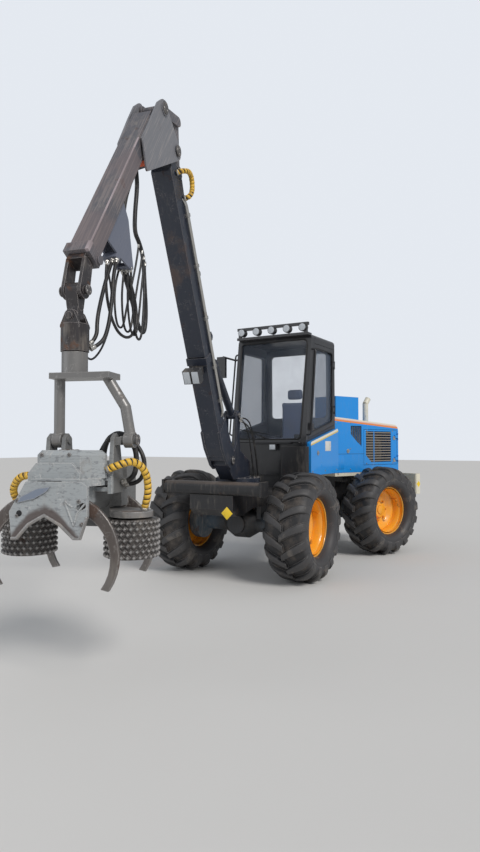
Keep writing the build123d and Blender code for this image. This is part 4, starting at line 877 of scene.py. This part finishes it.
# %% The free hoses
free_hoses = (
    ("hose_loop", crane, 0.012, "knuckle_boom", None, (
        (3237, -25, 3126), (3300, -15, 2900), (3190, 15, 2580), (2970, 30, 2530), (2800, 20, 2690),
        (2830, 5, 2960), (2974, 0, 3124))),
    ("hose_boom", boom, 0.022, "main_boom", "boom", (
        (90, 109, 3205), (78, 172, 3215), (-105, 172, 3180), (-115, 165, 3040), (8, 170, 2962),
        (22, 112, 2958))),
    ("hose_head_right", head, 0.024, "head_frame", "right", (
        (112, 307, 1500), (110, 385, 1530), (50, 470, 1560), (-20, 530, 1490), (-50, 540, 1380),
        (-60, 530, 1290), (-80, 500, 1218))),
    ("hose_head_left", head, 0.024, "head_frame", "left", (
        (170, -196, 1450), (175, -270, 1460), (150, -350, 1430), (100, -420, 1350), (55, -420, 1280),
        (20, -400, 1222))),
    ("heel_hose_left", knuckle, 0.020, "knuckle_boom", None, (
        (600, 22, 322), (720, 22, 300), (900, 22, 300), (1110, 22, 272), (1290, 22, 190), (1380, 22, 60),
        (1430, 22, -30), (1497, 22, -62))),
    ("heel_hose_right", crane, 0.019, "knuckle_boom", None, (
        (2794, -20, 4160), (2750, -20, 4000), (2747, -20, 3884), (2782, -20, 3678), (2785, -22, 3500),
        (2690, -25, 3440), (2600, -30, 3330), (2575, -30, 3100), (2540, -30, 2830), (2580, -30, 2640),
        (2700, -30, 2700), (2800, -30, 2900), (2982, -28, 3128))),
    ("thin_loop_1", crane, 0.009, "knuckle_boom", None, (
        (2996, -48, 3138), (3050, -48, 3040), (3085, -48, 2850), (3040, -48, 2640), (2930, -48, 2640),
        (2870, -46, 2850), (2760, -42, 3120), (2700, -36, 3330), (2692, -28, 3430))),
    ("thin_loop_2", crane, 0.009, "knuckle_boom", None, (
        (2990, -6, 3132), (3020, -6, 3020), (3035, -6, 2830), (2990, -6, 2610), (2880, -6, 2610),
        (2820, -8, 2830), (2730, -10, 3110), (2660, -14, 3300), (2645, -20, 3385))),
    ("thin_loop_3", crane, 0.009, "knuckle_boom", None, (
        (2988, 25, 3130), (2990, 25, 3020), (2990, 25, 2800), (2930, 25, 2590), (2830, 25, 2590),
        (2770, 22, 2830), (2700, 10, 3100), (2635, -4, 3260), (2615, -20, 3340))),
    ("thin_loop_4", crane, 0.010, "knuckle_boom", None, (
        (2990, 52, 3130), (2975, 50, 3010), (2945, 48, 2790), (2880, 45, 2560), (2780, 45, 2560),
        (2720, 35, 2830), (2670, 15, 3080), (2615, -5, 3210), (2592, -20, 3290))),
    ("tip_hose_thin", crane, 0.008, "tip_link", None, (
        (3215, -45, 3130), (3170, -40, 3000), (3140, -30, 2830), (3200, -15, 2620), (3330, -5, 2420),
        (3480, 0, 2300), (3570, 0, 2310), (3622, 0, 2335))),
    ("head_arc_front", head, 0.019, "head_frame", None, (
        (-80, 185, 1515), (-80, 190, 1640), (-80, 240, 1735), (-80, 340, 1745), (-80, 430, 1660),
        (-80, 445, 1520), (-80, 410, 1420), (-80, 335, 1400))),
    ("head_arc_rear", head, 0.016, "head_frame", None, (
        (-116, 120, 1555), (-116, 180, 1680), (-116, 270, 1765), (-116, 380, 1720), (-116, 480, 1600),
        (-116, 490, 1470), (-116, 430, 1385), (-116, 335, 1385))),
    ("slew_hose_1", crane, 0.009, "crane_pillar", None, (
        (240, 105, 1980), (140, 125, 1960), (-30, 130, 1800), (-170, 130, 1520), (-260, 130, 1260),
        (-270, 130, 1090))),
    ("slew_hose_2", crane, 0.009, "crane_pillar", None, (
        (225, 100, 1990), (120, 160, 2010), (-70, 170, 1850), (-230, 170, 1540), (-330, 170, 1270),
        (-340, 170, 1090))),
    ("slew_hose_3", crane, 0.009, "crane_pillar", None, (
        (250, 100, 1960), (170, 190, 1930), (10, 210, 1720), (-120, 210, 1450), (-190, 210, 1230),
        (-200, 210, 1090))),
    ("tip_hose_left", crane, 0.015, "tip_link", None, (
        (3234, 22, 3130), (3315, 28, 3008), (3440, 45, 2780), (3535, 65, 2590), (3565, 85, 2450),
        (3626, 55, 2395))),
    ("tip_hose_right", crane, 0.015, "tip_link", None, (
        (3234, 58, 3130), (3305, 70, 3000), (3385, 105, 2770), (3475, 128, 2550), (3560, 130, 2410),
        (3640, 78, 2362))),
)
for name, place, radius, body, guard, route in free_hoses:
    line, points, length = hose("run_of_" + name, place, radius, route, body, hose_rubber,
                                name if name in nodes else None)
    pieces = [spiral("spiral_" + guard, points, radius, body, yellow_band)] if guard else []
    pieces.append(hose_ends("ends_of_" + name, points, radius, body, fitting_steel))
    place @ (Vector(route[0]) / 1000)

# %% [markdown]
# The driver's seat shows through the glass: a squab, a tall back and a headrest in dull
# blue-grey cloth. Each starts as a block a little smaller than the solid that it replaces,
# is remeshed to an even skin, and is blown up with cloth simulation, which crowns the faces
# and keeps the corners pulled in, as foam under a sewn cover does.

# %% Seat cushions
cloth = Finish("seat_cloth", (0.15, 0.19, 0.30), 0.85, Sheen_Weight=0.3)
cloth.stain(5, 5, 0.5, 0.8, 0.4, (0.16, 0.15, 0.15)).bump(cloth.cells(700), 0.0005)

cushions = (
    ("seat_squab", (-1.49, -1.02), (-0.235, 0.235), (1.640, 1.745)),
    ("seat_back", (-1.615, -1.52), (-0.225, 0.225), (1.645, 2.315)),
    ("seat_headrest", (-1.597, -1.528), (-0.12, 0.12), (2.345, 2.495)),
)
most_swell = 0.018
for name, x, y, z in cushions:
    shape = bmesh.new()
    block(shape, x, y, z, edge=0.034)
    pad = finish_piece(name, shape, cloth, "front_section", machine)
    bpy.context.view_layer.objects.active = pad
    remesh = pad.modifiers.new("even skin", "REMESH")
    remesh.mode, remesh.voxel_size = "VOXEL", 0.009
    bpy.ops.object.modifier_apply(modifier=remesh.name)
    before = [corner.co.copy() for corner in pad.data.vertices]
    stuffing = pad.modifiers.new("stuffing", "CLOTH")
    stuffing.settings.use_pressure, stuffing.settings.uniform_pressure_force = True, 4
    stuffing.settings.effector_weights.gravity = 0
    for moment in range(1, 16):
        bpy.context.scene.frame_set(moment)
    bpy.ops.object.modifier_apply(modifier=stuffing.name)
    for corner, start in zip(pad.data.vertices, before):
        swell = corner.co - start
        if swell.length > most_swell:
            corner.co = start + swell.normalized() * most_swell
    bpy.context.scene.frame_set(1)
    pad.data.shade_smooth()
    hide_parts("seat_cushions")

# %% [markdown]
# Lamps need lenses: a pale, slightly ribbed plate set into the mouth of each case. The roof
# carries five round ones, the boom two square ones and the rail under the windscreen one.
# All lenses on a body are drawn into one piece.

# %% Lamp lenses and mirror
lens_glass = Finish("lamp_lens", (0.62, 0.66, 0.70), 0.12, 0.0, Coat_Weight=0.8)
ribs = lens_glass.node("ShaderNodeTexWave", {"bands_direction": "Z"},
                       {"Vector": lens_glass.place, "Scale": 60.0})
lens_glass.paint(ribs * 0.35, (0.30, 0.33, 0.37)).bump(ribs, 0.001)

shape = bmesh.new()
for y in (-0.48, -0.24, 0, 0.24, 0.48):
    bar(shape, (-0.772, y, 3.28), (-0.762, y, 3.28), 0.049, 28, 0.003)
block(shape, (-0.592, -0.584), (0.068, 0.152), (1.597, 1.665), 0.002)
finish_piece("cab_lamp_lenses", shape, lens_glass, "front_section", machine)

shape = bmesh.new()
for y in (-0.047, 0.047):
    block(shape, (0.441, 0.449), (y - 0.036, y + 0.036), (1.177, 1.308), 0.003)
finish_piece("boom_lamp_lenses", shape, lens_glass, "main_boom", boom)

mirror_glass = Finish("mirror_glass", (0.6, 0.62, 0.64), 0.05, 1.0)
mirror_glass.stain(20, 4, 0.5, 0.8, 0.3, (0.3, 0.3, 0.3))
shape = bmesh.new()
block(shape, (-0.775, -0.769), (-0.86, -0.74), (2.652, 2.938), 0.002)
finish_piece("mirror_plate", shape, mirror_glass, "front_section", machine)

# %% [markdown]
# The windows sit in black rubber. A pipe of small radius run round each opening, its corners
# rounded, reads as that seal. The windscreen leans back, so its seal follows the same slope
# as the glass. A wiper rests on it, and grab rails run up the corner posts beside the door.

# %% Seals, wiper and rails
seal_rubber = Finish("seal_rubber", (0.012, 0.012, 0.013), 0.6)
seal_rubber.stain(16, 4, 0.5, 0.8, 0.4, (0.09, 0.085, 0.08)).bump(seal_rubber.noise(200), 0.0005)


def on_screen(y, z, proud=0.0):
    """A point on the leaning windscreen's outer face."""
    return (-0.66 - 0.14 * (z - 1.70) + proud, y, z)


def loop(corners, cut):
    """A closed path with rounded corners, opened in the middle of its first side."""
    start = (Vector(corners[0]) + Vector(corners[1])) / 2
    return rounded([start, *corners[1:], corners[0], start], cut)


shape = bmesh.new()
screen = [on_screen(y, z, 0.004) for y, z in ((-0.495, 1.74), (0.495, 1.74), (0.52, 3.12), (-0.52, 3.12))]
pipe(shape, loop(screen, 0.06), 0.011)
side = ((-0.815, 1.835), (-1.59, 2.005), (-1.605, 3.01), (-0.97, 3.01))
for y in (0.583, -0.583):
    pipe(shape, loop([(x, y, z) for x, z in side], 0.05), 0.009)
pipe(shape, [on_screen(-0.05, 1.76, 0.03), on_screen(-0.20, 1.82, 0.025), on_screen(-0.36, 1.86, 0.02)],
     0.007, 8)
pipe(shape, [on_screen(0.02, 1.81, 0.014), on_screen(-0.46, 1.88, 0.014)], 0.006, 8)
bar(shape, on_screen(-0.05, 1.76, 0.0), on_screen(-0.05, 1.76, 0.045), 0.018)
finish_piece("window_seals", shape, seal_rubber, "front_section", machine)

shape = bmesh.new()
for y in (0.60, -0.60):
    inner, outer = y * 0.96, y * 1.06
    corners = [(-0.70, inner, 1.80), (-0.70, outer, 1.80), (-0.875, outer, 2.98), (-0.875, inner, 2.98)]
    pipe(shape, rounded(corners, 0.04), 0.012)
corners = [(-0.66, 0.50, 1.66), (-0.635, 0.50, 1.70), (-0.635, -0.50, 1.70), (-0.66, -0.50, 1.66)]
pipe(shape, rounded(corners, 0.04), 0.010)
finish_piece("grab_rails", shape, cab_black, "front_section", machine)

# %% [markdown]
# Flat panels look real when something small catches the light on them. Each side of the hood
# gets a wire mesh in its five-cornered opening, a pressed latch, a small hatch, hinges and
# rows of bolts. The skirts get latches, bolts and one blank plate, and the front beam a yellow
# square. Many tiny like shapes share one piece.

# %% Panel fittings
def bolt(shape, spot, out, size=0.012):
    """A hexagon head on a washer, standing out from a face."""
    spot, out = Vector(spot), Vector(out).normalized()
    bar(shape, spot - out * 0.002, spot + out * 0.0025, size * 1.35, 14, 0.0008)
    bar(shape, spot, spot + out * size * 0.8, size, 6, 0.0015)


def latch(shape, x, y, z, side):
    """A pressed latch: a round dish with a folded handle across it."""
    bar(shape, (x, y, z), (x, y + 0.006 * side, z), 0.034, 24, 0.002)
    block(shape, (x - 0.026, x + 0.026), sorted((y + 0.004 * side, y + 0.016 * side)),
          (z - 0.008, z + 0.008), 0.003)


shape = bmesh.new()
for side in (1, -1):
    face = 0.5 * side
    latch(shape, -0.363, face, 1.566, side)
    for columns, levels in (((-0.10, -0.42), (1.28, 1.60, 2.00)), ((-0.80, -1.45), (1.365, 1.885))):
        for x in columns:
            for z in levels:
                bolt(shape, (x, face, z), (0, side, 0), 0.008)
    for z in (1.775, 1.409):
        block(shape, (-1.52, -1.46), sorted((face - 0.001 * side, face + 0.010 * side)),
              (z - 0.03, z + 0.03), 0.004)
finish_piece("hood_fittings", shape, fitting_steel, "rear_section", rear)

shape = bmesh.new()
for y in ((0.499, 0.506), (-0.506, -0.499)):
    block(shape, (-0.271, -0.049), y, (1.29, 1.492), 0.003)
finish_piece("hood_hatch", shape, blue, "rear_section", rear)

mesh_paint = Finish("mesh_grey", (0.17, 0.18, 0.19), 0.45)
mesh_paint.stain(30, 4, 0.5, 0.7, 0.5, (0.28, 0.26, 0.23))
shape = bmesh.new()
for y in (0.480, -0.480):
    made = bmesh.ops.create_grid(shape, x_segments=17, y_segments=23, size=0.5,
                                 matrix=moved(-0.555, y, 1.80, 90, "X"))["verts"]
    bmesh.ops.scale(shape, vec=(0.27, 1, 0.35), verts=made, space=Matrix.Translation((0.555, -y, -1.80)))
bmesh.ops.wireframe(shape, faces=shape.faces, thickness=0.0045, use_replace=True, use_even_offset=True,
                    use_boundary=True)
finish_piece("side_mesh", shape, mesh_paint, "rear_section", rear)

shape = bmesh.new()
for side in (1, -1):
    latch(shape, -0.941, 0.635 * side, 1.551, side)
    for x in (-0.76, -1.20, -1.64):
        bolt(shape, (x, 0.635 * side, 1.30), (0, side, 0), 0.009)
finish_piece("skirt_fittings", shape, fitting_steel, "front_section", machine)

sign_yellow = Finish("warning_square", (0.90, 0.62, 0.03), 0.4)
sign_yellow.stain(30, 5, 0.5, 0.75, 0.4, (0.45, 0.30, 0.05))
shape = bmesh.new()
block(shape, (0.791, 0.796), (-0.054, 0.054), (-0.054, 0.054), 0.001)
bmesh.ops.rotate(shape, cent=(0, 0, 0), matrix=Matrix.Rotation(pi / 4, 3, "X"), verts=shape.verts)
bmesh.ops.translate(shape, vec=(0, 0.225, 0.865), verts=shape.verts)
finish_piece("yellow_square", shape, sign_yellow, "front_section", machine)

plate_white = Finish("blank_plate", (0.72, 0.71, 0.67), 0.4)
plate_white.stain(20, 5, 0.5, 0.75, 0.4, (0.40, 0.37, 0.32))
shape = bmesh.new()
block(shape, (-1.41, -1.20), (0.634, 0.638), (1.575, 1.715), 0.0015)
finish_piece("skirt_plate", shape, plate_white, "front_section", machine)

# %% [markdown]
# Every joint of the crane turns on a pin, held by a cap and three bolts. The slewing base is
# bolted down in a ring, and clamp bolts repeat over the head. We list where each cap sits in
# its piece's frame and draw them all with one helper.

# %% Pin caps and bolt rings
def pin_cap(shape, x, y, z, side, radius):
    """A round cap with three bolts on the end of a pin along Y."""
    bar(shape, (x, y, z), (x, y + 0.010 * side, z), radius, 28, 0.003)
    ring = radius * 0.62
    for third in range(3):
        turn = 2 * pi * third / 3 + 0.5
        bolt(shape, (x + ring * cos(turn), y + 0.010 * side, z + ring * sin(turn)), (0, side, 0),
             radius * 0.16)


def bolt_ring(shape, middle, radius, count, size):
    """Bolts in a level ring, their heads up."""
    for index in range(count):
        turn = 2 * pi * index / count
        bolt(shape, Vector((radius * cos(turn), radius * sin(turn), 0)) + Vector(middle), (0, 0, 1), size)


pin_steel = weather(Finish("pin_steel", (0.12, 0.115, 0.115), 0.35, 0.5), dust=0.4, rust=0.5, scratches=0.4,
                    worn=(0.5, 0.48, 0.46))
cap_rows = (
    ("pillar_caps", "crane_pillar", crane, (
        (0.58, 0.128, 1.48, 0.05), (0.25, 0.094, 2.03, 0.032))),
    ("boom_caps", "main_boom", boom, (
        (0.022, 0.133, 3.386, 0.052), (-0.03, 0.085, 3.215, 0.034), (-0.06, 0.089, 2.2, 0.032))),
    ("knuckle_caps", "knuckle_boom", knuckle, ((-0.057, 0.133, 0.39, 0.055),)),
    ("tip_caps", "extension", knuckle, ((2.233, 0.104, 0.339, 0.038),)),
)
for name, body, place, caps in cap_rows:
    shape = bmesh.new()
    for x, y, z, radius in caps:
        for side in (1, -1):
            pin_cap(shape, x, y * side, z, side, radius)
    if body == "crane_pillar":
        bolt_ring(shape, (0, 0, 1.25), 0.255, 20, 0.014)
    finish_piece(name, shape, pin_steel, body, place)

shape = bmesh.new()
for y in (-0.165, 0.475):
    pin_cap(shape, 0, y, 1.70, 1 if y > 0 else -1, 0.04)
for y, z in ((-0.10, 1.60), (0.10, 1.60), (0.0, 1.53), (-0.22, 1.30), (0.22, 1.30), (-0.22, 1.20),
             (0.24, 1.15)):
    bolt(shape, (0.268 if z > 1.45 else 0.366, y, z), (1, 0, 0), 0.011)
bolt_ring(shape, (0.17, 0.05, 1.63), 0.06, 10, 0.007)
finish_piece("head_bolts", shape, pin_steel, "head_frame", head)

# %% [markdown]
# The feed rollers grip the bark with rows of blunt steel studs, each row half a step from the
# next. We spin a drum with a chamfered rim and set the studs round it as four-sided cones.
# The finish finds the studs by their distance from the axle, and leaves only their tops bright.

# %% Feed rollers
roller_steel = weather(Finish("roller_steel", (0.055, 0.050, 0.048), 0.42, 0.4), dust=0.4, rust=0.2,
                       scratches=0.3, worn=(0.30, 0.28, 0.27))
axle_out, axle_on = 0.40, -0.10
away = abs(roller_steel.along(head, (0, 1, 0))) - axle_out
ahead = roller_steel.along(head, (1, 0, 0)) - axle_on
roller_steel.paint((away * away + ahead * ahead).ramp(0.0335, 0.0385) * 0.8, (0.42, 0.41, 0.40))
stud_rows, studs_per_row = 7, 28
drum_radius, drum_low, drum_height = 0.180, 0.875, 0.273
for side, hand in (("left", 1), ("right", -1)):
    shape = bmesh.new()
    middle = Matrix.Translation((axle_on, axle_out * hand, drum_low + drum_height / 2))
    half = Vector((0, 0, drum_height / 2))
    bar(shape, middle @ -half, middle @ half, drum_radius, 52, 0.008)
    for row in range(stud_rows):
        level = (row + 0.5) * drum_height / stud_rows - drum_height / 2
        for index in range(studs_per_row):
            turn = Matrix.Rotation(2 * pi * (index + 0.5 * (row % 2)) / studs_per_row, 4, "Z")
            seat = turn @ moved(drum_radius + 0.008, 0, level, 90, "Y")
            bmesh.ops.create_cone(shape, cap_ends=True, cap_tris=False, segments=4, radius1=0.0205,
                                  radius2=0.0085, depth=0.024, matrix=middle @ seat)
    roller = finish_piece("studded_roller_" + side, shape, roller_steel, "feed_roller_" + side, head,
                          20)
    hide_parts("feed_roller_" + side)

# %% [markdown]
# A delimbing knife is a band of even width, curved round the trunk and cut off square, with
# a round eye at its pivot and a sharpened edge. We draw it between two arcs in the plane of
# the blade, give it its thickness and round the edges. Left and right are mirror images.

# %% Knives
def arc(first, middle, last, steps=12):
    """Points on the circle through three (y, z) points, from the first to the last."""
    (ax, ay), (bx, by), (cx, cy) = first, middle, last
    size = 2 * (ax * (by - cy) + bx * (cy - ay) + cx * (ay - by))
    a, b, c = ax * ax + ay * ay, bx * bx + by * by, cx * cx + cy * cy
    x = (a * (by - cy) + b * (cy - ay) + c * (ay - by)) / size
    y = (a * (cx - bx) + b * (ax - cx) + c * (bx - ax)) / size
    radius = Vector((ax - x, ay - y)).length
    start, end = atan2(ay - y, ax - x), atan2(cy - y, cx - x)
    turns = [start + (end - start) * step / steps for step in range(steps + 1)]
    return [(x + radius * cos(turn), y + radius * sin(turn)) for turn in turns]


thick = 0.030
for which, py, pz, x, reach, drop in (
    ("front", 0.191, 1.270, 0.300, 0.225, 0.555),
    ("rear", 0.180, 1.240, -0.440, 0.210, 0.540),
):
    far, low = py + reach, pz - drop
    outer = arc((py + 0.020, pz + 0.055), (far + 0.060, pz - drop * 0.45), (far - 0.004, low + 0.004))
    inner = arc((py - 0.045, pz - 0.035), (far - 0.006, pz - drop * 0.47), (far - 0.060, low + 0.016))
    for side, hand in (("left", 1), ("right", -1)):
        shape = bmesh.new()
        plate(shape, [(y * hand, z) for y, z in outer + list(reversed(inner))], x, thick)
        soften(shape, [rim for rim in shape.edges if rim.calc_face_angle(0) > 1.0], 0.004)
        bar(shape, (x - 0.004, py * hand, pz), (x + thick + 0.004, py * hand, pz), 0.062, 32, 0.004)
        knife = which + "_knife_" + side
        blade = finish_piece(which + "_blade_" + side, shape, knife_steel, knife, head)
        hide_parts(knife)

# %% [markdown]
# The shield of the head has a rolled lip along its lower edge, a leaf-shaped wear plate
# welded on, a slot under the cowl, a round hole and ribs round the oval one. A black block in
# the slot and a black disc in the round hole are painted shade. All of it stands a few
# millimetres proud of the flat plate.

# %% Shield of the head
shield_edge = ((-0.262, 1.050), (-0.222, 1.052), (-0.138, 1.144), (-0.024, 1.206), (0.090, 1.144),
               (0.186, 1.060), (0.228, 1.058), (0.278, 1.200))
shape = bmesh.new()
pipe(shape, [(0.364, y, z) for y, z in shield_edge], 0.0125, 8)
finish_piece("shield_lip", shape, steel, "head_frame", head)

leaf_paint = weather(Finish("wear_plate", (0.20, 0.235, 0.30), 0.35), dust=0.3, rust=0.15, scratches=0.9,
                     edge=0.008, worn=(0.50, 0.49, 0.48))
shape = bmesh.new()
plate(shape, ((-0.215, 1.285), (-0.190, 1.325), (-0.070, 1.380), (0.020, 1.392), (-0.005, 1.360),
              (-0.095, 1.312)), 0.366, 0.010)
finish_piece("wear_plates", shape, leaf_paint, "head_frame", head)
shape = bmesh.new()
for ends in (((0.120, 1.300), (0.186, 1.140)), ((0.120, 1.300), (0.176, 1.262)),
             ((0.186, 1.140), (0.206, 1.222)), ((0.206, 1.222), (0.262, 1.285))):
    pipe(shape, [(0.366, y, z) for y, z in ends], 0.007, 6)
finish_piece("shield_ribs", shape, head_paint, "head_frame", head)
# Painted shade: a black block in the slot and a black disc in the round hole stand for the shade inside them.
shape = bmesh.new()
block(shape, (0.335, 0.350), (-0.088, 0.088), (1.404, 1.428), 0.003)
bar(shape, (0.3665, -0.205, 1.215), (0.369, -0.205, 1.215), 0.020, 20, 0.0008)
finish_piece("slot_and_hole_shade", shape, seal_rubber, "head_frame", head)

# %% [markdown]
# Steel pipes carry oil up the boom along its rear edge, held by clamps, and a small
# orange-red bar between the heel plates of the knuckle boom guides the hoses.

# %% Boom pipes
shape = bmesh.new()
for x in (0.014, 0.034, 0.054):
    for side in (1, -1):
        pipe(shape, rounded([(x, 0.100 * side, 0.60), (x, 0.123 * side, 0.66), (x, 0.123 * side, 2.90),
                             (x, 0.100 * side, 2.96)], 0.03), 0.0075, 10)
for z in (0.80, 1.20, 1.75, 2.30, 2.80):
    for side in (1, -1):
        block(shape, (-0.002, 0.070), sorted((0.102 * side, 0.134 * side)), (z - 0.018, z + 0.018), 0.003)
finish_piece("boom_pipes", shape, fitting_steel, "main_boom", boom)
red_paint = weather(Finish("bracket_red", (0.72, 0.115, 0.035), 0.4), dust=0.2, rust=0.1, scratches=0.3)
shape = bmesh.new()
block(shape, (0.450, 0.530), (-0.112, 0.112), (0.205, 0.262), 0.004)
finish_piece("red_bracket", shape, red_paint, "knuckle_boom", knuckle)

# %% [markdown]
# The machine stands on a plain pale floor that catches its shadow: one large square with
# nothing on it.

# %% Floor
floor_paint = Finish("studio_floor", (0.70, 0.69, 0.67), 0.9)
floor_paint.stain(0.8, 3, 0.3, 0.8, 0.2, (0.66, 0.65, 0.63))
shape = bmesh.new()
bmesh.ops.create_grid(shape, x_segments=1, y_segments=1, size=60)
mesh = as_mesh("floor", shape)
mesh.materials.append(floor_paint.material)
floor = add_object("floor", mesh)
